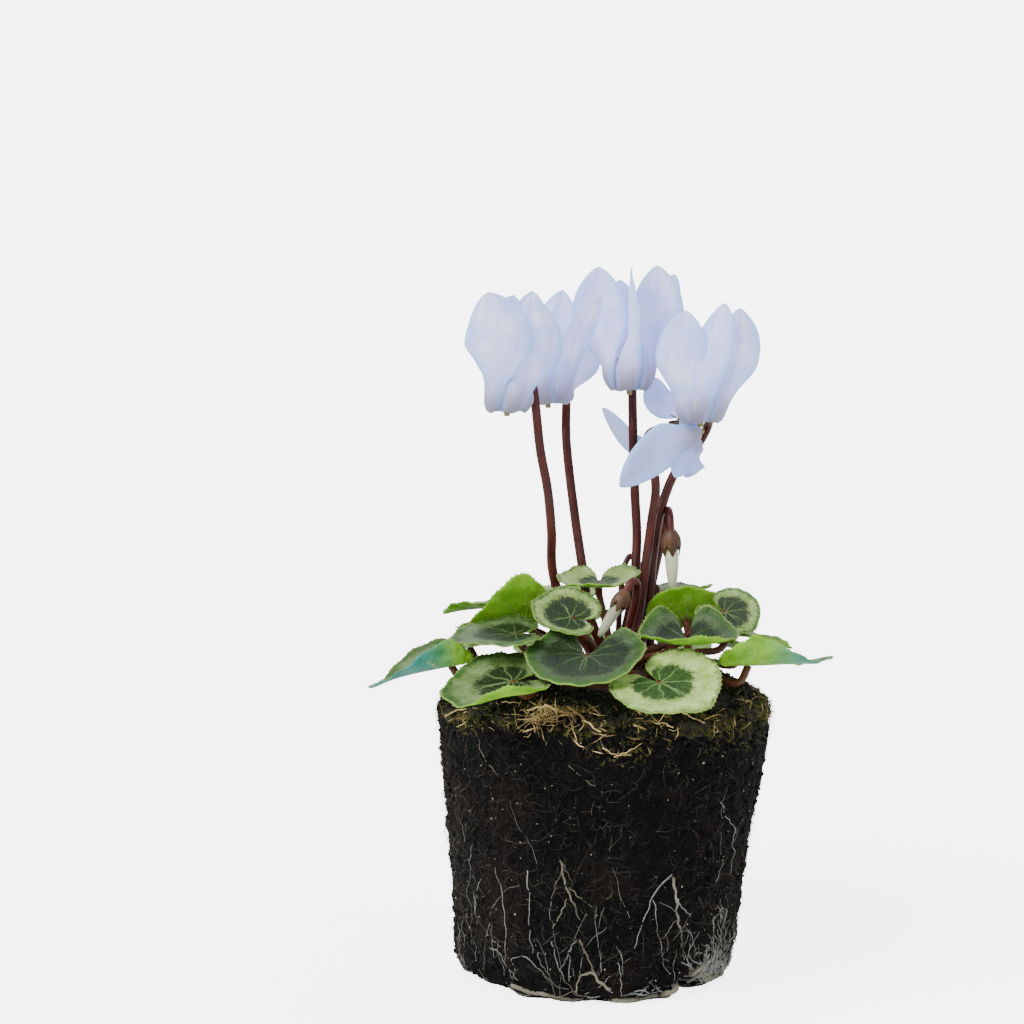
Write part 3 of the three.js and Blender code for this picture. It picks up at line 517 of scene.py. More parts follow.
# ---- node trees ----
class Value:
    """What a node gives. A sum with it adds a Math node to its tree."""

    def __init__(self, wiring, socket):
        self.w, self.socket = wiring, socket

    def __add__(self, other):
        return self.w.math("ADD", self, other)

    def __sub__(self, other):
        return self.w.math("SUBTRACT", self, other)

    def __mul__(self, other):
        return self.w.math("MULTIPLY", self, other)

    def __truediv__(self, other):
        return self.w.math("DIVIDE", self, other)

    def __rsub__(self, other):
        return self.w.math("SUBTRACT", other, self)

    def __neg__(self):
        return self * -1.0

    def __abs__(self):
        return self.w.math("ABSOLUTE", self)

    __radd__, __rmul__ = __add__, __mul__


class Wiring:
    """Short calls that add nodes to a tree and link them."""

    def __init__(self, tree):
        self.nodes, self.links = tree.nodes, tree.links

    def put(self, socket, value):
        if isinstance(value, Value):
            self.links.new(value.socket, socket)
        else:
            socket.default_value = value

    def add(self, kind, **inputs):
        """A new node; its inputs are named with _ for each space."""
        node = self.nodes.new(kind)
        for name, value in inputs.items():
            self.put(node.inputs[name.replace("_", " ")], value)
        return node

    def out(self, node, name=0):
        return Value(self, node.outputs[name])

    def give(self, kind, **inputs):
        """What a new node gives first."""
        return self.out(self.add(kind, **inputs))

    def math(self, what, *values):
        node = self.nodes.new("ShaderNodeMath")
        node.operation = what
        for socket, value in zip(node.inputs, values):
            self.put(socket, value)
        return self.out(node)

    def step(self, value, low, high, to_low=0.0, to_high=1.0):
        """A value's way from low to high, as a smooth step between two other numbers."""
        node = self.nodes.new("ShaderNodeMapRange")
        node.interpolation_type = "SMOOTHSTEP"
        for socket, v in zip(node.inputs, (value, low, high, to_low, to_high)):
            self.put(socket, v)
        return self.out(node)

    def blend(self, share, first, second):
        node = self.nodes.new("ShaderNodeMix")
        node.data_type = "RGBA"
        for name, value in (("Factor_Float", share), ("A_Color", first), ("B_Color", second)):
            self.put(next(s for s in node.inputs if s.identifier == name), value)
        return Value(self, next(s for s in node.outputs if s.identifier == "Result_Color"))

    def noise(self, vector, scale, detail=3.0, rough=0.55):
        return self.give("ShaderNodeTexNoise", Vector=vector, Scale=scale, Detail=detail, Roughness=rough)

    def cells(self, vector, scale, feature="F1"):
        node = self.add("ShaderNodeTexVoronoi", Vector=vector, Scale=scale)
        node.feature = feature
        return self.out(node, "Distance")

    def object_place(self):
        return self.out(self.nodes.new("ShaderNodeTexCoord"), "Object")

    def mark(self, name):
        """What a piece notes at its points."""
        node = self.nodes.new("ShaderNodeAttribute")
        node.attribute_name = name
        return self.out(node, "Vector")

    def parts(self, vector):
        node = self.add("ShaderNodeSeparateXYZ", Vector=vector)
        return [self.out(node, k) for k in range(3)]

    def joined(self, x, y, z):
        return self.give("ShaderNodeCombineXYZ", X=x, Y=y, Z=z)

    def bump(self, height, strength, distance):
        return self.give("ShaderNodeBump", Height=height, Strength=strength, Distance=distance)

    def group(self, tree, **inputs):
        """A shader group placed with its own values: what it gives, by name."""
        node = self.nodes.new("ShaderNodeGroup")
        node.node_tree = tree
        for name, value in inputs.items():
            self.put(node.inputs[name.replace("_", " ")], value)
        return {socket.name: Value(self, socket) for socket in node.outputs}

    def dress(self, **inputs):
        """Sets the sockets of a material's own shader."""
        for name, value in inputs.items():
            self.put(self.nodes["Principled BSDF"].inputs[name.replace("_", " ")], value)


def colour(r, g, b):
    """A colour picked on a screen, 0 to 255, as the linear value that a shader takes."""
    return tuple(((c / 255 + 0.055) / 1.055) ** 2.4 if c > 10 else c / 255 / 12.92 for c in (r, g, b)) + (1.0,)


def new_material(name):
    """A material with a Principled BSDF, and its wiring."""
    material = bpy.data.materials.new(name)
    material.use_nodes = True
    return material, Wiring(material.node_tree)


def new_tree(name, kind, inputs, outputs):
    """A node tree with named sockets: the tree, its wiring, what it takes and what it gives."""
    tree = bpy.data.node_groups.new(name, kind)
    for way, sockets in (("INPUT", inputs), ("OUTPUT", outputs)):
        for label, form, *start in sockets:
            socket = tree.interface.new_socket(label, in_out=way, socket_type="NodeSocket" + form)
            if start:
                socket.default_value = start[0]
    w = Wiring(tree)
    taken = {socket.name: Value(w, socket) for socket in w.nodes.new("NodeGroupInput").outputs}
    return tree, w, taken, w.nodes.new("NodeGroupOutput").inputs


def new_group(name, inputs, outputs):
    """A shader node group of float outputs."""
    return new_tree(name, "ShaderNodeTree", inputs, [(label, "Float") for label in outputs])


def new_layout(name, inputs):
    """A Geometry Nodes tree that changes a mesh and gives it a finish."""
    inputs = [("Geometry", "Geometry"), *inputs, ("Finish", "Material")]
    return new_tree(name, "GeometryNodeTree", inputs, [("Geometry", "Geometry")])


# ---- shared effects ----
def make_mottle():
    """Uneven colour: a soft cloud with fine specks in it, and the height of both."""
    tree, w, taken, given = new_group(
        "mottle",
        [("Place", "Vector"), ("Cloud Scale", "Float"), ("Speck Scale", "Float"), ("Speck Share", "Float")],
        ("Mask", "Height"),
    )
    cloud = w.noise(taken["Place"], taken["Cloud Scale"], 4.0)
    speck = w.noise(taken["Place"], taken["Speck Scale"], 2.0)
    mixed = cloud * (1.0 - taken["Speck Share"]) + speck * taken["Speck Share"]
    w.put(given["Mask"], w.step(mixed, 0.36, 0.64))
    w.put(given["Height"], mixed)
    return tree


def make_streaks():
    """Fine lines that run along a stalk or a petal: across is where, along is how far."""
    tree, w, taken, given = new_group(
        "lengthwise streaks",
        [("Across", "Float"), ("Along", "Float"), ("Line Scale", "Float"), ("Wander", "Float")],
        ("Mask", "Height"),
    )
    place = w.joined(taken["Across"] * taken["Line Scale"], taken["Along"] * taken["Wander"], 0.0)
    lines = w.noise(place, 1.0, 3.0, 0.5)
    w.put(given["Mask"], w.step(lines, 0.38, 0.64))
    w.put(given["Height"], lines)
    return tree


def make_veins():
    """Veins that fan out from the stalk of a leaf, with a fine net between them."""
    tree, w, taken, given = new_group(
        "leaf veins",
        [("Blade", "Vector"), ("Spread", "Float"), ("Width", "Float")],
        ("Veins", "Near", "Net", "Reach", "Ragged"),
    )
    x, y, _ = w.parts(taken["Blade"])
    reach = w.math("SQRT", x * x + y * y)
    wander = w.noise(taken["Blade"], 2.6)
    turn = abs(w.math("ARCTAN2", y, x)) / (1.0 - reach * 0.2)
    bent = turn + (wander - 0.5) * 0.9
    off = w.math("PINGPONG", bent, taken["Spread"] * 0.5) * reach
    width = taken["Width"] * w.step(reach, 0.0, 1.0, 1.0, 0.35)
    main = (1.0 - w.step(off, width * 0.1, width)) * w.step(reach, 0.72, 0.92, 1.0, 0.0)
    spaced = reach - off * 1.3 + wander * 0.25
    side = 1.0 - w.step(w.math("PINGPONG", spaced, 0.13), 0.002, 0.016)
    side = side * (w.step(reach, 0.25, 0.42) * w.step(reach, 0.7, 0.85, 1.0, 0.0))
    w.put(given["Veins"], w.math("MAXIMUM", main, side * 0.3))
    w.put(given["Near"], 1.0 - w.step(off, 0.0, reach * 0.16 + 0.02))
    net = w.cells(w.joined(x, y, 0.0), 15.0, "DISTANCE_TO_EDGE")
    w.put(given["Net"], 1.0 - w.step(net, 0.0, 0.14))
    w.put(given["Reach"], reach)
    w.put(given["Ragged"], w.noise(taken["Blade"], 12.0, 4.0, 0.65))
    return tree


MOTTLE, STREAKS, VEINS = make_mottle(), make_streaks(), make_veins()


def mottled(w, cloud_scale, speck_scale, speck_share):
    """The mottle on a piece: its mask, its height, and a call that mixes two colours by it."""
    cloud = w.group(
        MOTTLE, Place=w.object_place(), Cloud_Scale=cloud_scale, Speck_Scale=speck_scale, Speck_Share=speck_share,
    )
    tone = lambda low, high: w.blend(cloud["Mask"], colour(*low), colour(*high))
    return tone, cloud["Height"]


# ---- finishes ----
def leaf_face():
    """The upper side: a dark middle, a silver band with ragged edges, pale veins, a green rim."""
    material, w = new_material("leaf face")
    silver, pale, middle = w.parts(w.mark("habit"))
    veins = w.group(VEINS, Blade=w.mark("place"), Spread=0.86, Width=0.025)
    reach, near, ragged = veins["Reach"], veins["Near"], veins["Ragged"] - 0.5
    uneven = reach + ragged * 0.36
    rim_from = pale * 0.12 + 0.8
    inside = w.step(uneven * 0.85 + reach * 0.15, rim_from, rim_from + 0.1, 1.0, 0.0)
    band = w.step(uneven + near * 0.05, middle, middle + 0.17) * inside
    tone, height = mottled(w, 260.0, 2400.0, 0.45)
    dark, green = tone((4, 16, 2), (17, 40, 7)), tone((38, 74, 18), (70, 116, 36))
    silvery, lime = tone((58, 84, 44), (100, 122, 84)), tone((136, 178, 70), (200, 221, 138))
    base = w.blend(w.step(uneven, 0.78, 0.95, 0.0, 0.8) + w.step(pale, 0.6, 1.0, 0.0, 0.42), dark, green)
    base = w.blend(band * (silver * 0.75 + 0.25), base, w.blend(pale, silvery, lime))
    vein_colour = w.blend(silver, colour(84, 112, 60), colour(144, 178, 110))
    shown_veins = w.step(reach, 0.3, 0.85, 0.75, 0.15) * (silver * 0.5 + 0.3)
    base = w.blend(veins["Veins"] * shown_veins, base, vein_colour)
    base = w.blend(near * w.step(reach, 0.1, 0.6, 0.2, 0.06), base, green)
    base = w.blend(veins["Net"] * 0.1, base, vein_colour)
    base = w.blend(w.step(reach, 0.02, 0.06, 0.7, 0.0), base, colour(96, 62, 40))
    base = w.blend(w.step(reach + ragged * 0.05, 0.962, 0.992) * 0.6, base, colour(140, 170, 84))
    relief = height * 0.35 - veins["Veins"] * 0.5 - veins["Net"] * 0.1
    w.dress(
        Base_Color=base, Roughness=w.step(height, 0.3, 0.7, 0.46, 0.62), Normal=w.bump(relief, 0.55, 0.0006),
        Specular_IOR_Level=0.3, Subsurface_Weight=0.06, Subsurface_Scale=0.001,
    )
    return material


def leaf_underside():
    """Bright yellow-green, cooler on the leaves that reach far out, with raised veins."""
    material, w = new_material("leaf underside")
    cool = w.parts(w.mark("cool"))[0]
    veins = w.group(VEINS, Blade=w.mark("place"), Spread=0.62, Width=0.045)
    tone, height = mottled(w, 180.0, 1800.0, 0.3)
    base = w.blend(cool, tone((96, 156, 20), (138, 194, 48)), tone((30, 120, 104), (66, 154, 138)))
    base = w.blend(veins["Veins"] * 0.5, base, colour(160, 190, 110))
    base = w.blend(w.step(veins["Reach"], 0.05, 0.3, 0.5, 0.0), base, colour(140, 120, 80))
    w.dress(
        Base_Color=base, Roughness=w.step(height, 0.3, 0.7, 0.42, 0.6),
        Normal=w.bump(height * 0.3 + veins["Veins"] * 0.8, 0.5, 0.0006),
        Specular_IOR_Level=0.25, Subsurface_Weight=0.1, Subsurface_Scale=0.001,
    )
    return material


def stalk_finish(name, low, high, streak, roughness):
    """A stem's skin: fine lines along it and uneven colour."""
    material, w = new_material(name)
    turn, run, _ = w.parts(w.mark("place"))
    lines = w.group(STREAKS, Across=w.math("SINE", turn), Along=run, Line_Scale=3.0, Wander=0.12)
    tone, height = mottled(w, 140.0, 2600.0, 0.35)
    w.dress(
        Base_Color=w.blend(lines["Mask"] * 0.4, tone(low, high), colour(*streak)),
        Roughness=w.step(height, 0.3, 0.7, roughness - 0.08, roughness + 0.1),
        Normal=w.bump(lines["Height"] * 0.7 + height * 0.5, 0.35, 0.0004), Specular_IOR_Level=0.3,
    )
    return material


def petal_finish():
    """White with a cool cast and fine veins lengthwise; painted shade makes it warmer and greyer towards the mouth,
    darker and bluer lower down and in soft bands along its folds, and it glows faintly with its own colour as painted
    light.
    """
    material, w = new_material("petal")
    across, along, seed = w.parts(w.mark("place"))
    shifted = across + seed * 3.7
    lines = w.group(STREAKS, Across=shifted, Along=along, Line_Scale=9.0, Wander=1.6)
    # Painted shade: soft broad bands along the petal, darker and bluer, stand for the shade in its folds.
    painted_fold_shade = w.group(STREAKS, Across=shifted, Along=along, Line_Scale=1.7, Wander=1.1)
    # Painted shade: the blooms turn darker and bluer lower down, below 0.19 m.
    low = w.step(w.parts(w.object_place())[2], 0.15, 0.19, 0.6, 0.0)
    edge = w.step(abs(across), 0.5, 1.0)
    # Painted shade in the mouth: each petal's foot is warm grey in its middle and blue-grey at its sides.
    foot = w.step(along, 0.04, 0.42, 0.95, 0.0)
    tone, height = mottled(w, 90.0, 2400.0, 0.2)
    base = tone((178, 193, 255), (222, 219, 255))
    for share, tint in (
        # painted shade, darker and bluer lower down on the blooms
        (low, (112, 140, 208)),
        # painted shade in the folds
        (painted_fold_shade["Mask"] * 0.36, (138, 150, 210)),
        (edge * 0.62, (130, 184, 255)),
        (lines["Mask"] * 0.12, (168, 170, 220)),
        # painted shade at the foot of each petal: warm grey in the middle, blue-grey at the sides
        (foot * w.step(edge, 0.0, 0.5, 1.0, 0.3), (124, 118, 134)),
        (foot * w.step(edge, 0.0, 0.6, 0.0, 0.7), (96, 112, 144)),
        (w.step(along, 0.02, 0.3, 0.55, 0.0) * lines["Mask"], (112, 112, 132)),
    ):
        base = w.blend(share, base, colour(*tint))
    # Painted light: the petals glow faintly with their own colour, as though lit from within.
    w.dress(
        Base_Color=base, Emission_Color=base, Emission_Strength=0.45, Roughness=w.step(height, 0.3, 0.7, 0.46, 0.6),
        Normal=w.bump(lines["Height"] + height * 0.3, 0.22, 0.0004),
        Subsurface_Weight=0.35, Subsurface_Scale=0.002, Subsurface_Radius=(1.0, 1.0, 1.2),
    )
    return material


def peat_finish():
    """Wet black-brown peat: crumbs, pits and tiny paler specks."""
    material, w = new_material("peat")
    place = w.object_place()
    tone, height = mottled(w, 160.0, 1300.0, 0.5)
    patch = w.step(w.noise(place, 45.0, 4.0), 0.48, 0.7, 0.0, 0.7)
    pale_specks = w.step(w.noise(place, 3200.0, 2.0), 0.66, 0.74)
    base = w.blend(patch, tone((1, 1, 2), (9, 8, 8)), colour(26, 19, 14))
    w.dress(
        Base_Color=w.blend(pale_specks * 0.5, base, colour(92, 82, 66)), Roughness=w.step(height, 0.3, 0.7, 0.72, 0.98),
        Normal=w.bump(height * 1.2 + w.cells(place, 420.0), 1.0, 0.0016), Specular_IOR_Level=0.12,
    )
    return material


def plain_growth(name, low, high, roughness, cloud_scale=220.0, bump=0.4):
    """A finish for small growth: uneven colour from piece to piece and along each."""
    material, w = new_material(name)
    tone, height = mottled(w, cloud_scale, 2600.0, 0.35)
    w.dress(
        Base_Color=tone(low, high), Normal=w.bump(height, bump, 0.0004),
        Roughness=w.step(height, 0.3, 0.7, roughness - 0.1, min(1.0, roughness + 0.08)),
    )
    return material


LEAF_FACE, LEAF_UNDER = leaf_face(), leaf_underside()
STALK = stalk_finish("leaf stalk", (58, 24, 14), (92, 46, 26), (86, 66, 34), 0.4)
STEM = stalk_finish("flower stem", (44, 9, 6), (78, 22, 13), (94, 42, 24), 0.42)
PETAL_SKIN = petal_finish()
CALYX = stalk_finish("calyx", (62, 34, 26), (92, 60, 40), (96, 84, 46), 0.45)
STYLE = plain_growth("style", (108, 100, 50), (166, 158, 96), 0.55)
GREEN_BUD = plain_growth("green bud petal", (116, 124, 88), (172, 176, 146), 0.5, 160.0, 0.2)
BUD_PETAL = plain_growth("bud petal", (196, 202, 164), (226, 224, 196), 0.5, 120.0, 0.2)
TOOTH = plain_growth("leaf tooth", (112, 96, 56), (156, 176, 104), 0.5, 400.0)
PEAT = peat_finish()
FIBRE = plain_growth("peat fibre", (4, 4, 4), (68, 61, 52), 0.9, 110.0)
OLD_ROOT = plain_growth("old root", (26, 22, 18), (92, 80, 64), 0.75, 70.0)
ROOT = plain_growth("pale root", (84, 78, 64), (142, 148, 146), 0.5, 60.0)
GRIT = plain_growth("grit", (96, 84, 66), (190, 180, 158), 0.7, 60.0)
SPLIT_ROOT = plain_growth("split root", (68, 62, 44), (132, 128, 110), 0.7, 110.0)
STRAW = plain_growth("straw", (122, 94, 50), (250, 216, 152), 0.8, 160.0)
MOSS = plain_growth("moss", (44, 46, 11), (122, 122, 42), 0.85, 160.0)
MOSS_BED = plain_growth("moss mat", (6, 5, 3), (38, 34, 14), 0.95, 320.0, 1.0)
TUBER_SKIN = plain_growth("tuber skin", (48, 32, 22), (84, 58, 38), 0.85, 300.0, 0.8)


# ---- Geometry Nodes ----
def random_between(w, low, high, seed):
    node = w.nodes.new("FunctionNodeRandomValue")
    node.data_type = "FLOAT"
    for name, value in (("Min_001", low), ("Max_001", high), ("Seed", seed)):
        w.put(next(s for s in node.inputs if s.identifier == name), value)
    return Value(w, next(s for s in node.outputs if s.type == "VALUE" and s.enabled))


def named(w, name, form="FLOAT"):
    """What a mesh notes at its points."""
    node = w.add("GeometryNodeInputNamedAttribute", Name=name)
    node.data_type = form
    return w.out(node, "Attribute")


def finish_layout(w, geometry, taken, given, kept=None):
    """Instances made real, given their finish and joined to what was there before."""
    real = w.give("GeometryNodeRealizeInstances", Geometry=geometry)
    smooth = w.give("GeometryNodeSetShadeSmooth", Geometry=real)
    done = w.give("GeometryNodeSetMaterial", Geometry=smooth, Material=taken["Finish"])
    if kept is not None:
        join = w.nodes.new("GeometryNodeJoinGeometry")
        for part in (kept, done):
            w.put(join.inputs[0], part)
        done = w.out(join)
    w.put(given["Geometry"], done)


def make_sweep():
    """Round threads along drawn paths, as thick as the paths' girth says."""
    tree, w, taken, given = new_layout("sweep threads", [("Sides", "Int")])
    curve = w.give("GeometryNodeMeshToCurve", Mesh=taken["Geometry"])
    outline = w.give("GeometryNodeCurvePrimitiveCircle", Resolution=taken["Sides"], Radius=1.0)
    thread = w.give(
        "GeometryNodeCurveToMesh", Curve=curve, Profile_Curve=outline, Scale=named(w, "girth"), Fill_Caps=True,
    )
    finish_layout(w, thread, taken, given)
    return tree


def make_strew():
    """Small growth strewn over a surface, more where its cover is thicker."""
    tree, w, taken, given = new_layout("strew growth", [
        ("Shapes", "Collection"), ("Per Square Metre", "Float"), ("Smallest", "Float"), ("Largest", "Float"),
        ("Tilt", "Float"), ("Sink", "Float"), ("Seed", "Int"),
    ])
    seed, tilt = taken["Seed"], taken["Tilt"]
    spread = w.add(
        "GeometryNodeDistributePointsOnFaces", Mesh=taken["Geometry"],
        Density=taken["Per Square Metre"] * named(w, "cover"), Seed=seed,
    )
    shapes = w.give(
        "GeometryNodeCollectionInfo", Collection=taken["Shapes"], Separate_Children=True, Reset_Children=True,
    )
    lean = lambda k: random_between(w, -tilt, tilt, seed + k)
    turn = w.joined(lean(3), lean(5), random_between(w, -math.pi, math.pi, seed))
    facing = w.add(
        "FunctionNodeRotateRotation", Rotation=w.out(spread, "Rotation"),
        Rotate_By=w.give("FunctionNodeEulerToRotation", Euler=turn),
    )
    facing.rotation_space = "LOCAL"
    down = w.nodes.new("ShaderNodeVectorMath")
    down.operation = "SCALE"
    w.put(down.inputs[0], w.out(spread, "Normal"))
    w.put(down.inputs["Scale"], -taken["Sink"])
    sunk = w.give("GeometryNodeSetPosition", Geometry=w.out(spread, "Points"), Offset=w.out(down))
    placed = w.give(
        "GeometryNodeInstanceOnPoints", Points=sunk, Instance=shapes, Pick_Instance=True, Rotation=w.out(facing),
        Scale=random_between(w, taken["Smallest"], taken["Largest"], seed + 7.0),
    )
    finish_layout(w, placed, taken, given)
    return tree


def make_beads():
    """A bead on each tooth of a leaf's margin, pointing outwards."""
    tree, w, taken, given = new_layout(
        "margin beads", [("Bead Width", "Float"), ("Bead Length", "Float"), ("Seed", "Int")],
    )
    teeth = w.give("GeometryNodeMeshToPoints", Mesh=taken["Geometry"], Selection=named(w, "tooth", "BOOLEAN"))
    facing = w.add("FunctionNodeAlignRotationToVector", Vector=named(w, "outward", "FLOAT_VECTOR"))
    facing.axis = "Z"
    wide = taken["Bead Width"] * random_between(w, 0.7, 1.25, taken["Seed"])
    long = taken["Bead Length"] * random_between(w, 0.7, 1.3, taken["Seed"] + 2.0)
    placed = w.give(
        "GeometryNodeInstanceOnPoints", Points=teeth, Rotation=w.out(facing), Scale=w.joined(wide, wide, long),
        Instance=w.give("GeometryNodeMeshIcoSphere", Radius=1.0, Subdivisions=1),
    )
    finish_layout(w, placed, taken, given, taken["Geometry"])
    return tree


SWEEP, STREW, BEADS = make_sweep(), make_strew(), make_beads()


def laid(thing, tree, name, **values):
    """A thing with a layout run on it, as a plain mesh under its own name."""
    modifier = thing.modifiers.new(tree.name, "NODES")
    modifier.node_group = tree
    for item in tree.interface.items_tree:
        label = item.name.replace(" ", "_")
        if item.in_out == "INPUT" and label in values:
            modifier[item.identifier] = values[label]
    bpy.context.view_layer.update()
    depsgraph = bpy.context.evaluated_depsgraph_get()
    mesh = bpy.data.meshes.new_from_object(
        thing.evaluated_get(depsgraph), preserve_all_data_layers=True, depsgraph=depsgraph,
    )
    thing.modifiers.remove(modifier)
    bpy.data.objects.remove(thing)
    return shown(name, mesh)


# ---- growing parts ----
def growth_point(azimuth, share):
    """Where a stalk leaves the top of the tuber, and the way out there."""
    turn, out = math.radians(azimuth), share * TUBER["radius"]
    rise = TUBER["half"] * math.sqrt(1 - share * share)
    aside = np.array([out * math.cos(turn), out * math.sin(turn), rise])
    spread = np.array([TUBER["radius"], TUBER["radius"], TUBER["half"]])
    return np.array([TUBER["x"], TUBER["y"], TUBER["z"]]) + aside, unit(aside / spread**2)


def stalk_path(root, onward):
    """From just inside the tuber through points to the end of a stalk."""
    spot, slope = growth_point(*root)
    return smooth_path([spot - 2.5 * slope, spot + 2.5 * slope, *onward])


def leaf_edge(angle, gap):
    """From the stalk to the leaf's edge at an angle from its tip, as a share of its size."""
    turned = np.abs(angle)
    rounded = 0.8 + 0.18 * ((1 + np.cos(turned)) / 2) ** 1.5
    point = 0.06 * np.exp(-((turned / 0.2) ** 2))
    start = math.radians(130)
    lobe = np.maximum(0, (turned - start) / (math.pi - math.radians(gap) - start))
    return (rounded + point) * (1 - 0.42 * lobe**3)


def blade_points(leaf, share, angle, tooth):
    """The middle surface of a blade in its own frame."""
    reach = share * (leaf_edge(angle, leaf["gap"]) + tooth)
    x = reach * np.cos(angle) * np.where(np.abs(angle) > math.pi / 2, leaf["back"], 1)
    y = reach * np.sin(angle) * (1 - leaf["narrow"] * np.maximum(0, x))
    along = np.where(x > 0, leaf["bend"], leaf["lobe"]) * x * x
    across = np.where(y > 0, *leaf["sides"]) * y * y
    turned_up = np.where(y > 0, *leaf["fold"]) * np.maximum(0, np.abs(y) - 0.35) ** 2
    ripple = 0.03 * reach**2 * np.sin(5 * angle + leaf["heading"])
    ruffle = 0.012 * smoothstep(share, 0.7, 1) * np.sin(17 * angle + 2 * leaf["heading"])
    return np.stack([x, y, along + across + turned_up + ripple + ruffle], axis=-1) * leaf["size"]


def blade_turn(leaf):
    """The turn that points the tip along its heading, then lifts the tip and the left side."""
    h, p, r = (math.radians(leaf[k]) for k in ("heading", "pitch", "roll"))
    about_z = np.array([[math.cos(h), -math.sin(h), 0], [math.sin(h), math.cos(h), 0], [0, 0, 1]])
    about_y = np.array([[math.cos(p), 0, -math.sin(p)], [0, 1, 0], [math.sin(p), 0, math.cos(p)]])
    about_x = np.array([[1, 0, 0], [0, math.cos(r), -math.sin(r)], [0, math.sin(r), math.cos(r)]])
    return about_z @ about_y @ about_x


def leaf_piece(name, leaf):
    """A heart-shaped blade and its stalk, with a bead on each tooth of the margin."""
    piece = Piece(name + "_leaf", [LEAF_FACE, LEAF_UNDER, STALK])
    turn, joint = blade_turn(leaf), np.array(leaf["at"], float)
    shares = [0.07, 0.16, 0.27, 0.38, 0.5, 0.61, 0.71, 0.8, 0.87, 0.93, 0.97, 1.0]
    widest, wide = math.pi - math.radians(leaf["gap"]), 2 * LEAF["teeth"] + 1
    angles, teeth = np.linspace(-widest, widest, wide), np.where(np.arange(wide) % 2, 1, -1) * LEAF["tooth"]
    seeds = np.full(wide, leaf["heading"] * 0.37)
    points, place = [np.zeros(3)], [np.zeros(3)]
    for share in shares:
        points.extend(blade_points(leaf, share, angles, teeth * (share == 1.0)))
        place.extend(np.stack([share * np.cos(angles), share * np.sin(angles), seeds], axis=1))
    points, place = np.array(points) @ turn.T + joint, np.array(place)
    faces = [(0, 1 + k, 2 + k) for k in range(wide - 1)]
    faces += [(1 + a, 1 + d, 1 + c, 1 + b) for a, b, c, d in grid_faces(len(shares), wide)]
    last = 1 + (len(shares) - 1) * wide
    rim = [0, *range(1, last, wide), *range(last, last + wide), *range(last - 1, 0, -wide)]
    silver, pale, cool, middle = leaf["habit"]
    sheet_shell(piece, points, faces, rim, LEAF["thick"], (0, 1), place, (silver, pale, middle))

    tip, face = turn[:, 0], turn[:, 2]
    under = joint - 3 * tip - 5 * face
    spot, _ = growth_point(*leaf["root"])
    between = spot + 0.55 * (under - spot) + np.array([0, 0, 0.1 * np.linalg.norm(spot - under)])
    path = stalk_path(leaf["root"], [between, under, joint - 0.05 * face])
    spots, ahead = along_path(path, np.linspace(0, 1, 26))
    swell = LEAF["stalk"] * (1 + 0.12 * np.linspace(1, 0, 26) ** 3)
    tube_shell(piece, spots, ahead, swell, 10, 2, taper=0.1)

    thing = piece.build()
    count, edge = len(thing.data.vertices), slice(last, last + wide)
    blade_cool, outward, tooth = np.zeros((count, 3)), np.zeros((count, 3)), np.zeros(count, bool)
    reached = smoothstep(place[:, 0], 1.55 - 1.75 * cool, 2.2 - 1.75 * cool)
    blade_cool[:2 * len(points), 0] = np.tile(cool * reached, 2)
    outward[edge] = unit(points[edge] - points[last - wide:last])
    tooth[last + 1:last + wide:2] = True
    note(thing.data, "cool", "FLOAT_VECTOR", blade_cool)
    note(thing.data, "outward", "FLOAT_VECTOR", outward)
    note(thing.data, "tooth", "BOOLEAN", tooth)
    return laid(
        thing, BEADS, piece.name, Bead_Width=BEAD["width"], Bead_Length=BEAD["length"],
        Seed=abs(int(leaf["heading"])), Finish=TOOTH,
    )


def petal_half(share, width, peak):
    """Half of a petal's width at a share of its length."""
    if share < peak:
        wide = float(smoothstep(share, 0.23 * peak, peak))
    else:
        wide = (1 - ((share - peak) / (1 - peak)) ** 2) ** 0.72
    blade = (width / 2) * wide
    foot = BLOOM["foot"] * (1.12 + 0.35 * smoothstep(share, 0.05, 0.2)) * (1 - smoothstep(share, 0.4, 0.65))
    return (foot**4 + np.maximum(blade, 0.25) ** 4) ** 0.25


def bloom_frame(bloom):
    """The two sides and the axis of a bloom, as the columns of a turn."""
    along = unit(bloom["axis"])
    side = np.array([1.0, 0, 0]) if abs(along[2]) > 0.6 else np.array([0, 0, 1.0])
    side = unit(side - along * np.dot(side, along))
    return np.stack([side, np.cross(along, side), along], axis=1)


PETAL_ROWS = [
    0, 0.02, 0.045, 0.075, 0.11, 0.15, 0.19, 0.22, 0.24, 0.255, 0.27, 0.285, 0.305,
    *np.linspace(0.34, 0.94, 16), 0.965, 0.985, 1.0,
]


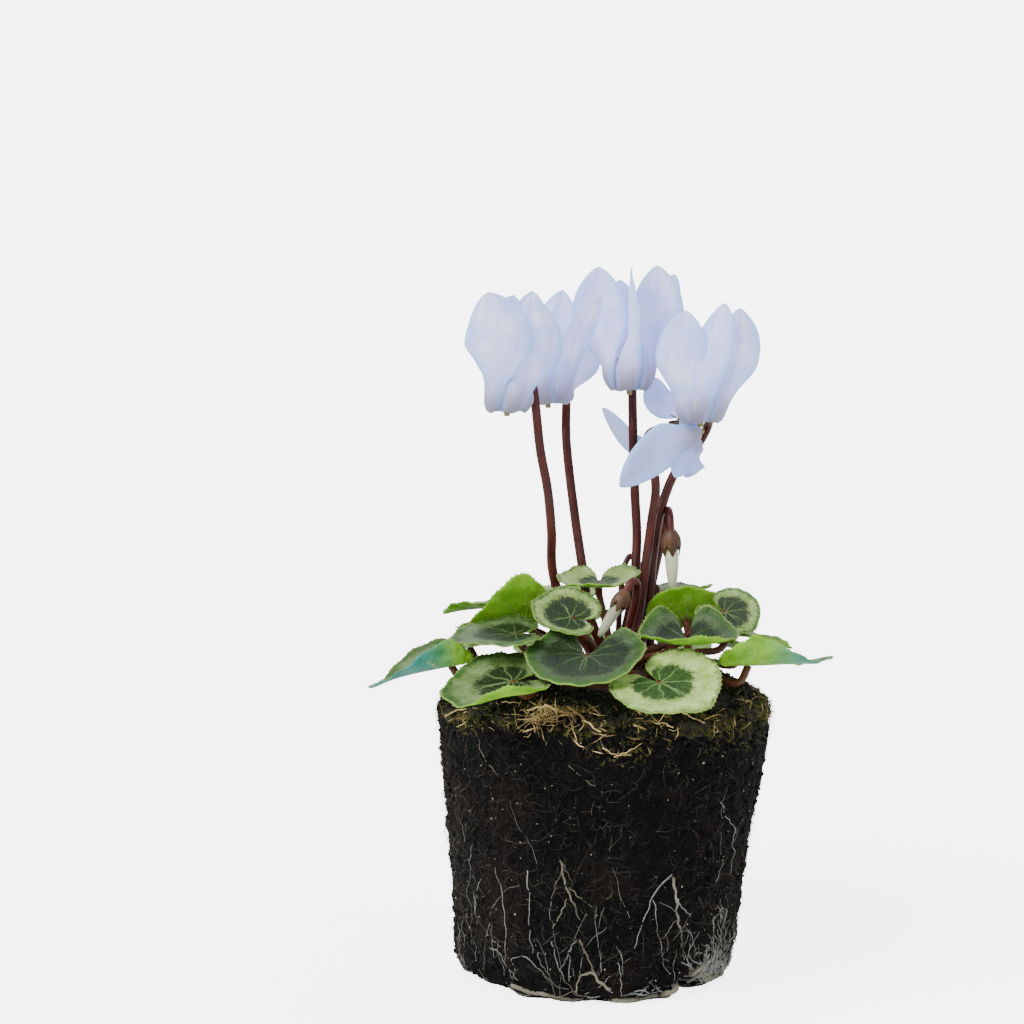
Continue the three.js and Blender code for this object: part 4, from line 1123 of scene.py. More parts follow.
def add_petal(piece, spec, turn, mouth, seed):
    """A petal that grows out of the mouth, turns round its rim and stands up behind it."""
    base, middle, tip, face_middle, face_tip, width, *own = spec
    peak, pocket = (*own, *PLAIN_PETAL[len(own):])
    foot_turn = math.radians(base)
    lift = 0.12 * math.sin(3.7 * foot_turn)
    around = lambda radius, high: (radius * math.cos(foot_turn), radius * math.sin(foot_turn), high + lift)
    path = smooth_path([around(4, 1.3), around(5, 0.35), around(6, min(1.7, middle[2] / 9)), middle, tip])
    level = lambda face: np.array([-math.sin(math.radians(face)), math.cos(math.radians(face)), 0])
    nearest = lambda angle, to: angle + 360 * round((to - angle) / 360)
    free = isinstance(face_middle, tuple)
    if free:
        ways = level(base), unit(face_middle), unit(face_tip)
    else:
        ways = base, nearest(face_middle, base), nearest(face_tip, nearest(face_middle, base))
    columns = np.linspace(-1, 1, PETAL["columns"])
    spots, ahead = along_path(path, PETAL_ROWS)
    points, place = [], []
    for share, spot, way in zip(PETAL_ROWS, spots, ahead):
        turned = ways[0] + smoothstep(share, 0.1, 0.55) * (ways[1] - ways[0])
        turned = turned + smoothstep(share, 0.55, 1) * (ways[2] - ways[1])
        across = turned if free else level(turned)
        across = unit(across - way * np.dot(across, way))
        outside = np.cross(across, way)
        half = petal_half(share, width, peak) * (1 if share < 1 else 0.45)
        hood = PETAL["hood"] + (PETAL["flat"] - PETAL["hood"]) * min(1, share / 0.5)
        aside = half * columns
        wave = 0.4 * np.abs(columns) ** 3 * math.sin(9 * share + 5 * seed) * smoothstep(share, 0.25, 0.6)
        broad = 0.045 * width * np.sin(3.4 * columns + 2.4 * share + 3 * seed)
        wave = wave + broad * smoothstep(share, 0.35, 0.6) * (1 - smoothstep(share, 0.75, 1))
        belly = 1.3 * math.exp(-(((share - 0.16) / 0.09) ** 2)) * (1 - columns**2)
        pinch = pocket * smoothstep(share, 0.02, 0.16) * (1 - smoothstep(share, 0.235, 0.3))
        belly = belly + pinch * np.sqrt(1 - columns**2)
        crease = 0.22 * np.exp(-((columns / 0.16) ** 2)) * smoothstep(share, 0.3, 0.7)
        rise = belly - hood * aside * aside + wave - crease
        points.extend(spot + np.outer(aside, across) + np.outer(rise, outside))
        place.extend((column, share, seed) for column in columns)
    points = np.array(points) @ turn.T + mouth
    size = len(PETAL_ROWS), len(columns)
    sheet_shell(piece, points, grid_faces(*size), grid_rim(*size), PETAL["thick"], (0, 0), np.array(place), edge=0.3)


# Outlines as [radius, height]: a bloom's cup and style, a bud's calyx, with its inside, and its petals.
CUP = [
    (0.4, 6.3), (2.6, 6.2), (3.3, 4), (3.7, 2), (3.9, 0.9), (4.3, 0.55), (4.9, 0.9), (4.75, 2), (4.3, 4),
    (3.8, 6), (3.2, 7), (1.2, 7.2),
]
STYLE_FOOT = BLOOM["cup"] - 0.8 - BLOOM["gap"]
STYLE_FORM = [(0.3, -1.0), (0.75, -0.9), (0.85, -0.2), (0.7, 0.6), (0.5, 1.6), (1.0, 2.2), (1.0, STYLE_FOOT)]
BUD_CALYX = [
    (0.6, -0.5), (1.35, -0.3), (2.1, 0.6), (2.75, 1.9), (3.1, 3.4), (3.05, 4.6), (2.75, 5.6), (2.35, 5.4),
    (1.0, 5.2),
]
BUD_FORM = [
    (0.8, 5.2), (1.9, 5.4), (2.1, 7), (2.05, 9), (1.85, 12), (1.55, 14.5), (1.2, 16.5), (0.75, 17.8),
    (0.3, 18.3),
]


def five_waves(depth):
    """Waves for a turned body with five shallow lobes."""
    return lambda turns, row: 1 + depth * np.cos(5 * turns)


def bloom_pieces(name, bloom):
    """An open bloom: its corolla, its stem with the calyx, and its style with the anthers."""
    turn, mouth = bloom_frame(bloom), np.array(bloom["mouth"], float)
    along, away, top = turn[:, 2], unit(bloom["out"]), BLOOM["cup"] + BLOOM["gap"]
    corolla = Piece(f"bloom_{name}_corolla", [PETAL_SKIN])
    for k, spec in enumerate(bloom["petals"]):
        add_petal(corolla, spec, turn, mouth, k + 0.37 + 1.7 * ord(name))
    throat = lambda turns, row: 1 + (0.05 if row in (1, 2, 3, 4) else 0.02) * np.cos(5 * turns)
    turned_shell(corolla, CUP, 40, mouth, along, waves=throat)
    turns = corolla.marks["place"][-1][:, 0]
    # The cup is marked as the foot of the petals, so their painted shade covers it too.
    corolla.marks["place"][-1] = np.stack([4 * np.sin(turns * 2.5), 0 * turns + 0.1, 0 * turns], axis=1)

    hook = [mouth + along * high + away * out for high, out in (*bloom["hook"], (top + 1.2, 0))]
    path = stalk_path(bloom["root"], [*(np.array(p, float) for p in reversed(bloom["stem"])), *hook])
    spots, ahead = along_path(path, np.linspace(0, 1, 90))
    stem = Piece(f"bloom_{name}_flower_stem", [STEM, CALYX])
    tube_shell(stem, spots, ahead, BLOOM["stem"] * (1.06 - 0.12 * np.linspace(0, 1, 90)), 14, ridges=0.035)
    add_calyx(stem, mouth + along * top, -along, 3.6, 4.2)

    style = Piece(f"bloom_{name}_anthers", [STYLE])
    turned_shell(style, STYLE_FORM, 15, mouth, along, waves=five_waves(0.16))
    for angle in round_turns(5):
        lean = turn @ np.array([math.cos(angle), math.sin(angle), 0])
        tip, foot = mouth + along * 0.5 + lean * 0.65, mouth + along * STYLE_FOOT + lean * 1.25
        girth = np.array([0.22, 0.42, 0.55, 0.6, 0.55, 0.3])
        tube_shell(style, np.linspace(tip, foot, 6), np.tile(unit(foot - tip), (6, 1)), girth, 8)
    return corolla.build(), stem.build(), style.build()


def add_sepals(piece, foot, axis, rows, thick, shape):
    """Five pointed sepals; shape(share) gives the height, reach, half width and hollow of one."""
    side, other = sides_of(axis)
    for turn in round_turns(5):
        out = side * math.cos(turn) + other * math.sin(turn)
        across = np.cross(axis, out)
        points, place = [], []
        for share in np.linspace(0, 1, rows):
            high, reach, half, hollow = shape(share)
            for c in np.linspace(-1, 1, 5):
                points.append(foot + axis * high + out * (reach - hollow * c * c) + across * half * c)
                place.append((c, share * 4, 1))
        faces, rim = grid_faces(rows, 5), grid_rim(rows, 5)
        sheet_shell(piece, np.array(points), faces, rim, thick, (1, 1), np.array(place), edge=0.4)


def add_calyx(piece, foot, axis, radius, length):
    """The calyx of a bloom: a small cap with sepals. axis points back up the stem."""
    profile = [
        (0.5, -0.1), (radius * 0.55, -0.05), (radius * 0.86, 0.5), (radius * 0.72, 1.5), (radius * 0.5, 2.9),
        (radius * 0.42, 4.0), (0.4, 4.3),
    ]
    turned_shell(piece, profile, 25, foot, axis, 1, five_waves(0.06))

    def sepal(share):
        half = radius * 0.42 * (1 - share) ** 0.75 * (0.7 + 1.1 * share) + 0.04
        return 1.6 - share * length, radius * (0.62 + 0.5 * share**0.7), half, 0.12 * half

    add_sepals(piece, foot, axis, 9, 0.3, sepal)


def bud_pieces(name, bud):
    """A bud: its stem with the calyx, and its furled petals."""
    along, foot, size = unit(bud["axis"]), np.array(bud["calyx"], float), bud["size"]
    path = stalk_path(bud["root"], [*(np.array(p, float) for p in (*bud["stem"], *bud["hook"])), foot + along * 1.5])
    spots, ahead = along_path(path, np.linspace(0, 1, 70))
    stem = Piece(f"bud_{name}_stem_and_calyx", [STEM, CALYX])
    tube_shell(stem, spots, ahead, np.full(70, bud["thick"]), 12, ridges=0.03)
    turned_shell(stem, [(r * size, h * size) for r, h in BUD_CALYX], 30, foot, along, 1, five_waves(0.04))

    def sepal(share):
        half = 1.75 * size * (1 - share) ** 0.8 + 0.03
        return (4.6 + 3.6 * share) * size, (3.05 - 0.75 * share) * size, half, 0.16 * half * half / size

    add_sepals(stem, foot, along, 8, 0.3 * size, sepal)
    petals = Piece(f"bud_{name}_furled_petals", [GREEN_BUD if bud["green"] else BUD_PETAL])
    twist = lambda turns, row: 1 + 0.1 * np.abs(np.sin(2.5 * turns + 0.55 * row)) ** 0.7 - 0.05
    turned_shell(petals, [(r * size, h * size + 0.35) for r, h in BUD_FORM], 40, foot, along, waves=twist)
    return stem.build(), petals.build()


# ---- root ball ----
def lean_at(z):
    """How far the middle of the ball stands to the right at a height."""
    return BALL["shift"] + BALL["lean"] * z / BALL["height"]


def ball_radius(z):
    return BALL["base"] + (BALL["top"] - BALL["base"]) * z / BALL["height"]


def peat_bump(turn, z):
    """The broad and the small unevenness of the ball's face."""
    broad = np.sin(5 * turn + 0.09 * z) + np.sin(3 * turn - 0.13 * z + 1.2)
    small = np.sin(13 * turn + 0.31 * z) * np.cos(9 * turn - 0.22 * z)
    return -0.35 * (2 + broad) - 0.3 * (1 + small)


def crumbs(points, *layers):
    """Rough crumbs of peat at points: how far each is pushed, from layers of fineness and depth."""
    layer = lambda fine, depth: np.array([noise.fractal(Vector(p) * fine, 0.9, 2.2, 3) * depth for p in points])
    return sum(layer(fine, depth) for fine, depth in layers)


def peat_crumbs(points):
    return crumbs(points, (0.35, 0.85), (1.1, 0.4))


def peat_face(turns, z):
    """Points of the ball's face at turns round it, all at one height."""
    from_notch = np.mod(turns + math.pi, 2 * math.pi) - math.pi + NOTCH["turn"]
    notch = NOTCH["depth"] * np.exp(-((from_notch / NOTCH["half"]) ** 4)) * (1 - smoothstep(z, 4.5, 7))
    ragged = 1 + 0.35 * np.sin(7 * turns) + 0.3 * np.sin(16 * turns + 1)
    foot = BALL["inset"] * ragged * (1 - smoothstep(z, 0, BALL["foot"]))
    shoulder = BALL["shoulder"] * smoothstep(z, 79, BALL["height"]) ** 1.5
    radius = ball_radius(z) + peat_bump(turns, z) - foot - notch - shoulder
    return np.stack([lean_at(z) + radius * np.cos(turns), radius * np.sin(turns), 0 * turns + z], axis=-1)


def on_peat(turn, z, stand=0.0):
    """A point a little off the rough face of the ball."""
    spot = peat_face(np.array([turn]), z)
    push = float(peat_crumbs(spot)[0]) - BALL["sink"] + stand
    return spot[0] + np.array([math.cos(turn), math.sin(turn), 0]) * push


def root_ball():
    """The rough ball of peat: its face in rings from the foot up, then its top inwards."""
    turns = round_turns(260)
    rows = [peat_face(turns, z) for z in (0, 0.6, 1.6, 3.5, *np.linspace(5, 79, 56), 81, 82.6, 83.6, 84)]
    sides, rim = len(rows), rows[-1]
    middle = np.array([lean_at(84), 0, 84.0])
    rows += [middle + (rim - middle) * share for share in (0.9, 0.75, 0.6, 0.45, 0.3)]
    points, around = np.concatenate(rows), len(turns)
    push = peat_crumbs(points)
    push[:around] = np.minimum(push[:around], 0)
    out = np.tile(np.stack([np.cos(turns), np.sin(turns), 0 * turns], axis=1), (len(rows), 1))
    out[sides * around:] = (0, 0, 1)
    points += out * (push - BALL["sink"])[:, None]
    points[:, 2] = np.maximum(points[:, 2], 0)
    ends = np.array([[0, 0, 0.0], [4, 0, 83.5]])
    piece = Piece("peat_ball", [PEAT])
    faces = grid_faces(len(rows), around, ring=True) + end_fans(len(rows), around)
    piece.shell(np.concatenate([points, ends]), faces)
    return piece.build()


def moss_mat():
    """The low uneven mat of moss over the top of the ball, bare round the tuber."""
    turns, shares = round_turns(200), np.linspace(0, 1, 20)
    upper, lower = [], []
    for share in shares:
        ragged = (0.9 * np.sin(11 * turns) + 0.5 * np.sin(23 * turns + 1) - 1.6) * smoothstep(share, 0.7, 1)
        radius = MAT["inner"] + MAT["width"] * share + ragged
        uneven = 1 + 0.3 * np.sin(4 * turns + 6 * share) + 0.25 * np.sin(9 * turns - 5 * share)
        drop = (MAT["drop"] + 1.2 * np.sin(7 * turns + 2)) * smoothstep(share, 0.72, 1) ** 1.2
        x, y, z = lean_at(84) + radius * np.cos(turns), radius * np.sin(turns), BALL["height"] - drop
        rise = MAT["rise"] * uneven * (0.4 + 0.6 * smoothstep(share, 0, 0.2))
        upper.append(np.stack([x, y, z + rise], axis=1))
        lower.append(np.stack([x, y, z - MAT["under"]], axis=1))
    upper, lower = np.concatenate(upper), np.concatenate(lower)
    upper[:, 2] += crumbs(upper, (0.4, 0.9), (1.3, 0.6))
    count, around = len(upper), len(turns)
    faces = grid_faces(len(shares), around, ring=True)
    under = [tuple(i + count for i in reversed(face)) for face in faces]
    pairs, last = [(k, (k + 1) % around) for k in range(around)], count - around
    outer = [(last + a, last + a + count, last + b + count, last + b) for a, b in pairs]
    inner = [(a, b, b + count, a + count) for a, b in pairs]
    piece = Piece("moss_mat_on_top", [MOSS_BED])
    piece.shell(np.concatenate([upper, lower]), [*faces, *under, *outer, *inner])
    return piece.build()


def tuber():
    """The flat corm in the top of the ball."""
    turns = [math.pi * ((k + 0.3) / 14.6 - 0.5) for k in range(15)]
    profile = [(math.cos(turn) * TUBER["radius"], math.sin(turn) * TUBER["half"]) for turn in turns]
    uneven = lambda turns, row: 1 - 0.012 * (1 + np.sin(7 * turns + row))
    piece = Piece("flat_tuber", [TUBER_SKIN])
    turned_shell(piece, profile, 60, (TUBER["x"], TUBER["y"], TUBER["z"]), (0, 0, 1), waves=uneven)
    return piece.build()


# ---- small growth ----
def shape_collection(name, makers):
    """A hidden collection of small shapes for a layout to pick from."""
    shapes = bpy.data.collections.new(name)
    for k, make in enumerate(makers):
        piece = Piece(f"{name}_{k}")
        make(piece)
        thing = piece.build()
        bpy.context.collection.objects.unlink(thing)
        shapes.objects.link(thing)
    return shapes


def drop_shapes(shapes):
    for thing in list(shapes.objects):
        bpy.data.objects.remove(thing)
    bpy.data.collections.remove(shapes)


def curled_thread(seed, length, girth):
    """A maker of one loose thread that lies nearly flat, curled and arched."""
    def make(piece):
        draw = random.Random(seed)
        heading, spot, spots = 0.0, np.zeros(3), []
        bend = draw.gauss(0, 0.35)
        for _ in range(6):
            spots.append(spot.copy())
            heading += bend + draw.gauss(0, 0.35)
            spot += np.array([math.cos(heading), math.sin(heading), 0]) * length / 5
        spots = np.array(spots) - np.mean(spots, axis=0)
        spots[:, 2] = 0.5 * np.sin(np.linspace(0, math.pi, 6) + draw.uniform(-0.7, 0.7))
        ahead = unit(np.gradient(spots, axis=0))
        tube_shell(piece, spots, ahead, girth * np.array([0.5, 0.9, 1, 1, 0.8, 0.4]), 3)
    return make


def straw_blade(seed, length, width):
    """A maker of one flat dry blade of grass, a little bent and twisted."""
    def make(piece):
        draw = random.Random(seed)
        bend, twist = draw.uniform(-0.5, 0.5), draw.uniform(-1.2, 1.2)
        points = []
        for share, wide in zip(np.linspace(-0.5, 0.5, 6), (0.4, 0.8, 1, 0.9, 0.7, 0.3)):
            half, turn = width * wide / 2, twist * share
            rise = 0.9 * math.cos(share * 3) * draw.uniform(0.2, 1)
            middle = np.array([share * length, bend * length * share * share, rise])
            across = np.array([0, math.cos(turn), math.sin(turn)]) * half
            thick = np.array([0, -math.sin(turn), math.cos(turn)]) * half * 0.35
            points += [middle + across, middle + thick, middle - across, middle - thick]
        piece.shell(points, grid_faces(6, 4, ring=True) + [(3, 2, 1, 0), (20, 21, 22, 23)])
    return make


def moss_shoot(seed):
    """A maker of one tuft of moss: a thin leaning stem with narrow pointed leaves."""
    def make(piece):
        draw = random.Random(seed)
        lean = np.array([draw.uniform(-1.6, 1.6), draw.uniform(-1.6, 1.6), draw.uniform(2.0, 3.4)])
        spots = np.outer(np.linspace(0, 1, 3), lean)
        tube_shell(piece, spots, np.tile(unit(lean), (3, 1)), np.array([0.12, 0.1, 0.05]), 3)
        for k in range(8):
            turn, foot = k * 2.4 + draw.uniform(-0.4, 0.4), lean * (0.15 + 0.11 * k)
            tip = foot + np.array([math.cos(turn), math.sin(turn), 0.8]) * draw.uniform(0.8, 1.5)
            thick = np.array([0, 0, 0.1])
            middle = (foot + tip) / 2 + thick
            wide = np.array([-math.sin(turn), math.cos(turn), 0]) * 0.11
            points = [foot, middle + wide, middle - wide, middle - thick, tip]
            piece.shell(points, [(0, 2, 1), (0, 1, 3), (0, 3, 2), (4, 1, 2), (4, 3, 1), (4, 2, 3)])
    return make


def crumb(seed):
    """A maker of one crumb of peat: a small rough lump with twenty sides."""
    def make(piece):
        draw = random.Random(seed)
        gold = (1 + 5**0.5) / 2
        points = [(x, y, 0) for y in (gold, -gold) for x in (-1, 1)]
        points += [(0, y, z) for z in (gold, -gold) for y in (-1, 1)]
        points += [(x, 0, z) for x in (gold, -gold) for z in (-1, 1)]
        faces = [
            (0, 11, 5), (0, 5, 1), (0, 1, 7), (0, 7, 10), (0, 10, 11), (1, 5, 9), (5, 11, 4), (11, 10, 2),
            (10, 7, 6), (7, 1, 8), (3, 9, 4), (3, 4, 2), (3, 2, 6), (3, 6, 8), (3, 8, 9), (4, 9, 5),
            (2, 4, 11), (6, 2, 10), (8, 6, 7), (9, 8, 1),
        ]
        stretch = np.array([draw.uniform(0.25, 0.55), draw.uniform(0.25, 0.5), draw.uniform(0.2, 0.4)])
        rough = np.array([[draw.uniform(0.8, 1.2)] for _ in points])
        piece.shell(np.array(points) * stretch * rough, faces)
    return make


# Roots and straws are paths over the face of the ball, each with its girth along it.
def tapered(draw, girth, count, loss):
    """A girth that thins along a path, a little uneven."""
    return girth * (1 - loss * np.linspace(0, 1, count)) * np.array([draw.uniform(0.85, 1.15) for _ in range(count)])


def drawn_paths(name, paths):
    """Paths as a mesh of edges, each point with its girth."""
    points, edges, girths = [], [], []
    for path, girth in paths:
        start = len(points)
        points += [tuple(p * MM) for p in path]
        edges += [(start + k, start + k + 1) for k in range(len(path) - 1)]
        girths += list(girth * MM)
    mesh = bpy.data.meshes.new(name)
    mesh.from_pydata(points, edges, [])
    note(mesh, "girth", "FLOAT", girths)
    return shown(name, mesh)


def root_walk(draw, turn, z, heading, length, girth, wander, high=80.0, stand=0.25):
    """A root that feels its way over the face of the ball; heading 0 is straight up."""
    path, step, dive = [], 1.5, draw.uniform(0, 6)
    for k in range(max(4, int(length / step))):
        path.append(on_peat(turn, z, stand + 0.35 * math.sin(0.7 * k + dive)))
        heading += draw.gauss(0, wander)
        turn += math.sin(heading) * step / ball_radius(z)
        z = min(max(z + math.cos(heading) * step, 0.7), high)
    return np.array(path), tapered(draw, girth, len(path), 0.55)


def run_paths(runs, stand):
    """Drawn roots laid on the front of the ball, thinner towards their ends."""
    draw, paths = random.Random(3), []
    for girth, *knots in runs:
        line = smooth_path([np.array([x + draw.gauss(0, 0.2), 0.0, z]) for x, z in knots])
        count = 12 + 5 * len(knots)
        spots, _ = along_path(line, np.linspace(0, 1, count))
        sway, path = draw.uniform(0, 6), []
        for k, (x, _, z) in enumerate(spots):
            x, z = x + 0.22 * math.sin(0.9 * k + sway), max(0.7, z + 0.15 * math.sin(0.7 * k + 2 * sway))
            turn = -math.acos(max(-1, min(1, (x - lean_at(z)) / ball_radius(z))))
            path.append(on_peat(turn, z, stand + 0.2 * math.sin(0.5 * k + sway)))
        path = np.array(path)
        path[1:-1] = (path[:-2] + 2 * path[1:-1] + path[2:]) / 4
        paths.append((path, tapered(draw, girth, count, 0.5)))
    return paths


def pale_roots():
    """Long pale roots that come up from the foot: a thick fan low on the right, few elsewhere."""
    draw, paths = random.Random(41), []
    for k in range(110):
        crowd = k < 46
        turn = math.radians(draw.gauss(-35, 7)) if crowd else draw.uniform(-math.pi, math.pi)
        low = draw.uniform(1, 5) if crowd else draw.uniform(1, 14) if draw.random() < 0.7 else draw.uniform(14, 50)
        length = draw.uniform(6, 24) if crowd else draw.uniform(8, 26)
        girth = draw.choice((0.16, 0.24, 0.32, 0.5)) if crowd else draw.uniform(0.07, 0.14)
        heading = draw.gauss(0, 0.34 if crowd else 0.22)
        path, taper = root_walk(draw, turn, low, heading, length, girth, 0.26 if crowd else 0.16)
        paths.append((path, taper))
        for _ in range(draw.choice((0, 1, 2) if crowd else (0, 0, 1))):
            x, y, z = path[draw.randint(1, len(path) - 2)]
            fork = heading + draw.choice((-1, 1)) * draw.uniform(0.3, 0.8)
            fork_turn = math.atan2(y, x - lean_at(z))
            paths.append(root_walk(draw, fork_turn, z, fork, length * 0.45, girth * 0.7, 0.22))
    return paths


def foot_roots():
    """Roots that run round the foot of the ball, matted where the pot's edge pressed them."""
    draw, paths = random.Random(7), []
    for k in range(110):
        crowd = k > 50
        turn = math.radians(draw.gauss(-50, 22)) if crowd else draw.uniform(-math.pi, math.pi)
        z = abs(draw.gauss(0, 2.2 if crowd else 1.2)) + 0.6
        heading = draw.choice((-1, 1)) * (math.pi / 2 + draw.gauss(0, 0.3))
        length, girth = draw.uniform(5, 16), draw.uniform(0.08, 0.18)
        paths.append(root_walk(draw, turn, z, heading, length, girth, 0.24, high=z + 6, stand=0.2))
    return paths


def brown_roots():
    """Older roots, brown and thin, wandering over the whole face."""
    draw, paths = random.Random(23), []
    for k in range(300):
        turn, z = draw.uniform(-math.pi, math.pi), draw.uniform(4, 80)
        length = draw.uniform(12, 26) if k % 8 == 0 else draw.uniform(3, 9)
        heading, girth = draw.uniform(-3.1, 3.1), draw.uniform(0.06, 0.13)
        paths.append(root_walk(draw, turn, z, heading, length, girth, 0.34, stand=0.15))
    return paths


# How thick a growth is at a place on the plant, from 0 to 1.
def patches(x, z, *spots):
    """Growth in spots on the front; a spot is [x, z, half width, half height, most]."""
    return sum(
        most * math.exp(-(((x - at) / wide) ** 2) - ((z - high) / tall) ** 2)
        for at, high, wide, tall, most in spots
    )


def between(low, high):
    """Full growth between two heights, and none elsewhere."""
    return lambda x, y, z: float(low < z < high)


def fibre_cover(x, y, z):
    return 0.0 if z < 6.5 or z > 83 else 0.55 + 0.45 * noise.noise(Vector((x, y, z)) * 0.06)


def moss_cover(x, y, z):
    """Moss on top of the ball and hanging over its edge, thickest in front and on the right."""
    rough = 0.5 + 0.9 * noise.noise(Vector((x, y, z)) * 0.12)
    if z > 83.2:
        out = math.hypot(x - lean_at(84), y)
        return max(0.0, min(1.0, (0.4 + 0.7 * rough) * (0.25 + 0.75 * smoothstep(out, 32, 42))))
    hang = max(0.0, min(1.0, (z - 79 + 3 * rough) / 4)) * rough
    front = 0 if y >= 0 else patches(
        x, z, (3, 81, 11, 4, 1.2), (6, 74.5, 6, 1.8, 0.9), (39, 82, 9, 6, 1.4), (21, 82, 8, 2.5, 0.7),
        (-38, 80, 6, 3, 0.5),
    )
    return max(0.0, min(1.0, 0.35 * hang + front * (0.3 + rough)))


def litter_cover(x, y, z):
    """Dry litter: a thick tangle at the front left of the rim, a little elsewhere."""
    if z <= 72:
        return 0.0
    tangle = patches(x, z, (-17, 86, 6.5, 4, 1.0), (-5, 86, 6, 3, 0.2), (13, 83, 4, 2, 0.12))
    at_rim = math.exp(-(((y + 46) / 5) ** 2)) if y < 0 else 0
    return min(1.0, tangle * at_rim + 0.03 * moss_cover(x, y, z))


def strewn(name, ground, cover, shapes, finish, slot, many, sizes, tilt, sink, seed):
    """Small shapes strewn over a copy of a surface, as one piece that rides on the plant."""
    bare = shown("ground", ground.data.copy())
    note(bare.data, "cover", "FLOAT", [cover(*(v.co / MM)) for v in bare.data.vertices])
    thing = laid(
        bare, STREW, name, Shapes=shapes, Finish=finish, Per_Square_Metre=many, Smallest=sizes[0],
        Largest=sizes[1], Tilt=tilt, Sink=sink, Seed=seed,
    )
    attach(thing, "root")


def small_growth(ball, mat):
    """What grows on the ball and the mat: fibres, crumbs, moss, straw and roots."""
    side_moss = lambda x, y, z: moss_cover(x, y, z) if 70 < z < 83.2 else 0.0
    top_moss = lambda x, y, z: moss_cover(x, y, max(z, 84))
    off_tuber = lambda x, y, z: 1.0 if z > 79 and math.hypot(x, y) > 19 else 0.0
    threads = [curled_thread(k, 2.2 + 1.0 * k, 0.055 + 0.012 * (k % 3)) for k in range(8)]
    blades = [straw_blade(k, 2.2 + 0.9 * k, 0.24 + 0.05 * (k % 4)) for k in range(8)]
    # After its cover, finish and slot: how many to a square metre, smallest and largest size, how far it
    # tilts, how deep it sinks in metres, and its seed.
    for name, makers, layers in (
        ("threads", threads, (
            ("peat_fibres", ball, fibre_cover, FIBRE, "peat", 300e3, (0.5, 1.3), 0.4, 0.00005, 3),
            ("side_litter", ball, litter_cover, STRAW, "moss", 1500e3, (0.6, 1.3), 0.8, -0.0004, 31),
            ("top_litter", mat, litter_cover, STRAW, "moss", 1500e3, (0.6, 1.3), 0.8, -0.0004, 33),
        )),
        ("lumps", [crumb(k) for k in range(5)], (
            ("peat_crumbs", ball, between(1.2, 83), PEAT, "peat", 240e3, (0.3, 1.2), 3.1, 0.0002, 11),
            ("mat_crumbs", mat, off_tuber, MOSS_BED, "moss", 500e3, (0.4, 1.8), 3.1, 0.0001, 12),
            ("grit", ball, between(3, 80), GRIT, "peat", 20e3, (0.14, 0.42), 3.1, -0.0001, 14),
        )),
        ("shoots", [moss_shoot(k) for k in range(6)], (
            ("side_moss", ball, side_moss, MOSS, "moss", 1500e3, (0.3, 0.75), 1.2, 0.0002, 5),
            ("top_moss", mat, top_moss, MOSS, "moss", 340e3, (0.4, 0.9), 1.0, 0.0002, 6),
        )),
        ("blades", blades, (
            ("side_straw", ball, litter_cover, STRAW, "moss", 1500e3, (0.45, 1.15), 0.7, -0.001, 9),
            ("top_straw", mat, litter_cover, STRAW, "moss", 1500e3, (0.45, 1.15), 0.7, -0.001, 10),
        )),
    ):
        shapes = shape_collection(name, makers)
        for piece_name, ground, cover, *rest in layers:
            strewn(piece_name, ground, cover, shapes, *rest)
        drop_shapes(shapes)

    net = drawn_paths("root_paths", [*foot_roots(), *pale_roots(), *run_paths(PALE_RUNS, 0.3)])
    keep(laid(net, SWEEP, "pale_root_net", Sides=4, Finish=ROOT), "root_net")
    for name, paths, finish, slot in (
        ("brown_roots", brown_roots(), OLD_ROOT, "root"),
        ("split_roots", run_paths(SPLIT_RUNS, 0.1), SPLIT_ROOT, "root"),
        ("long_straws", run_paths(STRAW_RUNS, 1.2), STRAW, "moss"),
    ):
        thing = laid(drawn_paths(name + "_paths", paths), SWEEP, name, Sides=5, Finish=finish)
        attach(thing, "root")


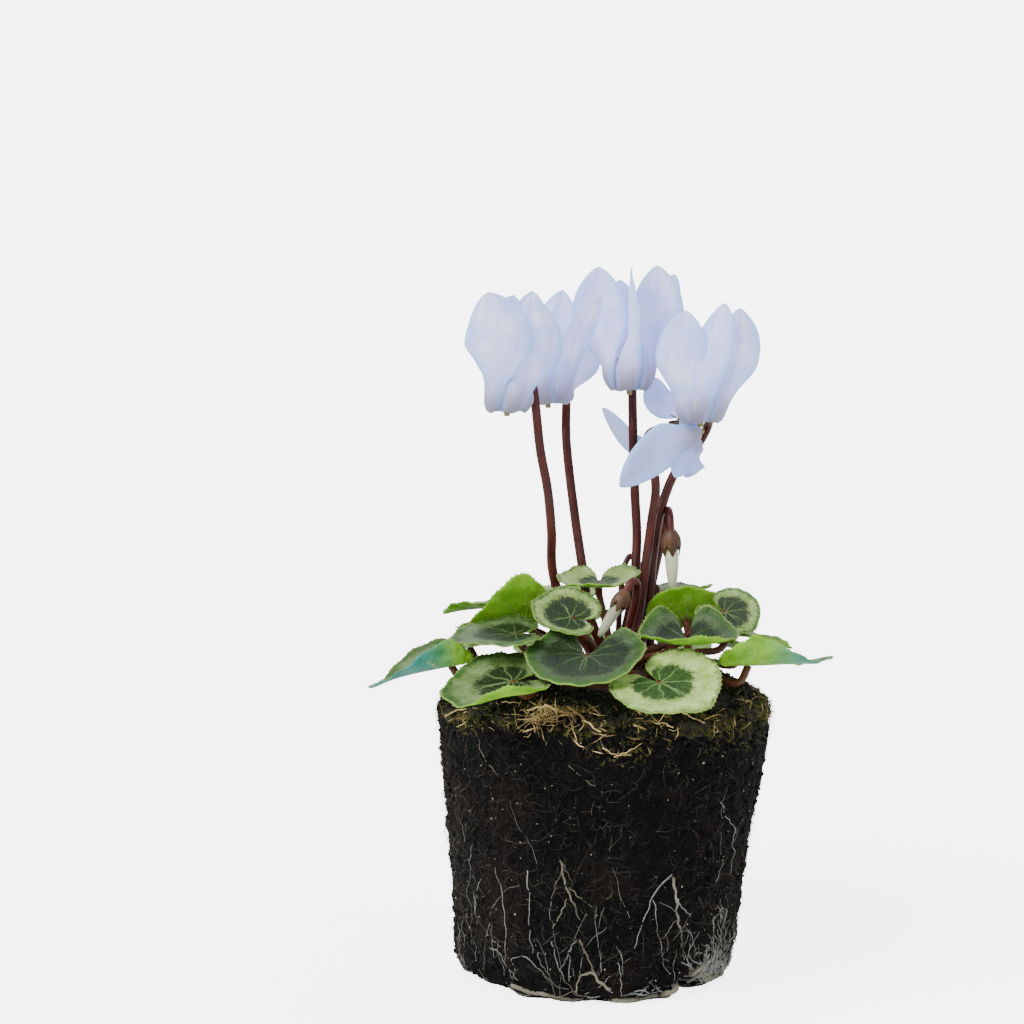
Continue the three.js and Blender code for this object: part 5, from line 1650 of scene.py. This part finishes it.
# ---- the studio ----
def studio():
    """The camera of the photo, a white ground and soft light from a window, a sky and the back."""
    camera = bpy.data.objects.new("camera", bpy.data.cameras.new("camera"))
    camera.data.lens, camera.data.sensor_width = 57.55, 36
    camera.location = (0, -0.5, 0.156)
    camera.rotation_euler = (math.radians(90 - 1.995), 0, math.radians(3.077))
    bpy.context.collection.objects.link(camera)
    bpy.context.scene.camera = camera

    pale, w = new_material("pale floor")
    seen = w.out(w.nodes.new("ShaderNodeLightPath"), "Is Camera Ray")
    w.dress(
        Base_Color=w.blend(w.noise(w.object_place(), 3.0), colour(246, 246, 246), colour(250, 250, 250)),
        Emission_Color=w.blend(seen, (0, 0, 0, 1), (1, 1, 1, 1)), Emission_Strength=4.2, Roughness=0.8,
    )
    floor, turns, radius = Piece("floor", [pale]), round_turns(96), 5000
    floor.shell(np.stack([np.cos(turns) * radius, np.sin(turns) * radius, 0 * turns], axis=1), [tuple(range(96))])
    floor.build(smooth=False)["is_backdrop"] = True

    for name, place, power, spread, tint in (
        ("window", (-0.9, -0.8, 1.3), 4.2, 40, (1, 0.99, 0.97)),
        ("fill", (1.2, -0.9, 0.5), 0.8, 80, (0.94, 0.97, 1)),
        ("back", (0.3, 1.2, 1.0), 1.4, 60, (0.94, 0.97, 1)),
    ):
        light = bpy.data.objects.new(name, bpy.data.lights.new(name, "SUN"))
        light.data.energy, light.data.angle, light.data.color = power, math.radians(spread), tint
        light.location = place
        light.rotation_euler = (Vector((0, 0, 0.12)) - Vector(place)).to_track_quat("-Z", "Y").to_euler()
        bpy.context.collection.objects.link(light)

    world = bpy.data.worlds.new("soft sky")
    bpy.context.scene.world = world
    world.use_nodes = True
    w = Wiring(world.node_tree)
    sky = w.nodes["Background"]
    w.put(sky.inputs["Color"], (0.97, 0.98, 1.0, 1))
    seen = w.out(w.nodes.new("ShaderNodeLightPath"), "Is Camera Ray")
    w.put(sky.inputs["Strength"], w.step(seen, 0.0, 1.0, 0.7, 6.5))


def keep(thing, node):
    """A finished piece rides on the plant and stands for its CAD node."""
    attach(thing, "root")
    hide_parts(node)


studio()
for name, leaf in LEAVES.items():
    keep(leaf_piece(name, leaf), "leaf_" + name)
for name, bloom in BLOOMS.items():
    for thing, node, slot in zip(bloom_pieces(name, bloom), ("petals", "stem", "style"), ("petal", "stem", "style")):
        keep(thing, f"bloom_{name}_{node}")
for name, bud in BUDS.items():
    for thing, node, slot in zip(bud_pieces(name, bud), ("stem", "petals"), ("stem", "bud")):
        keep(thing, f"bud_{name}_{node}")
ball, mat = root_ball(), moss_mat()
small_growth(ball, mat)
keep(ball, "root_ball")
keep(mat, "moss_mat")
keep(tuber(), "tuber")

visual_box = [list(corner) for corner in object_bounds()]
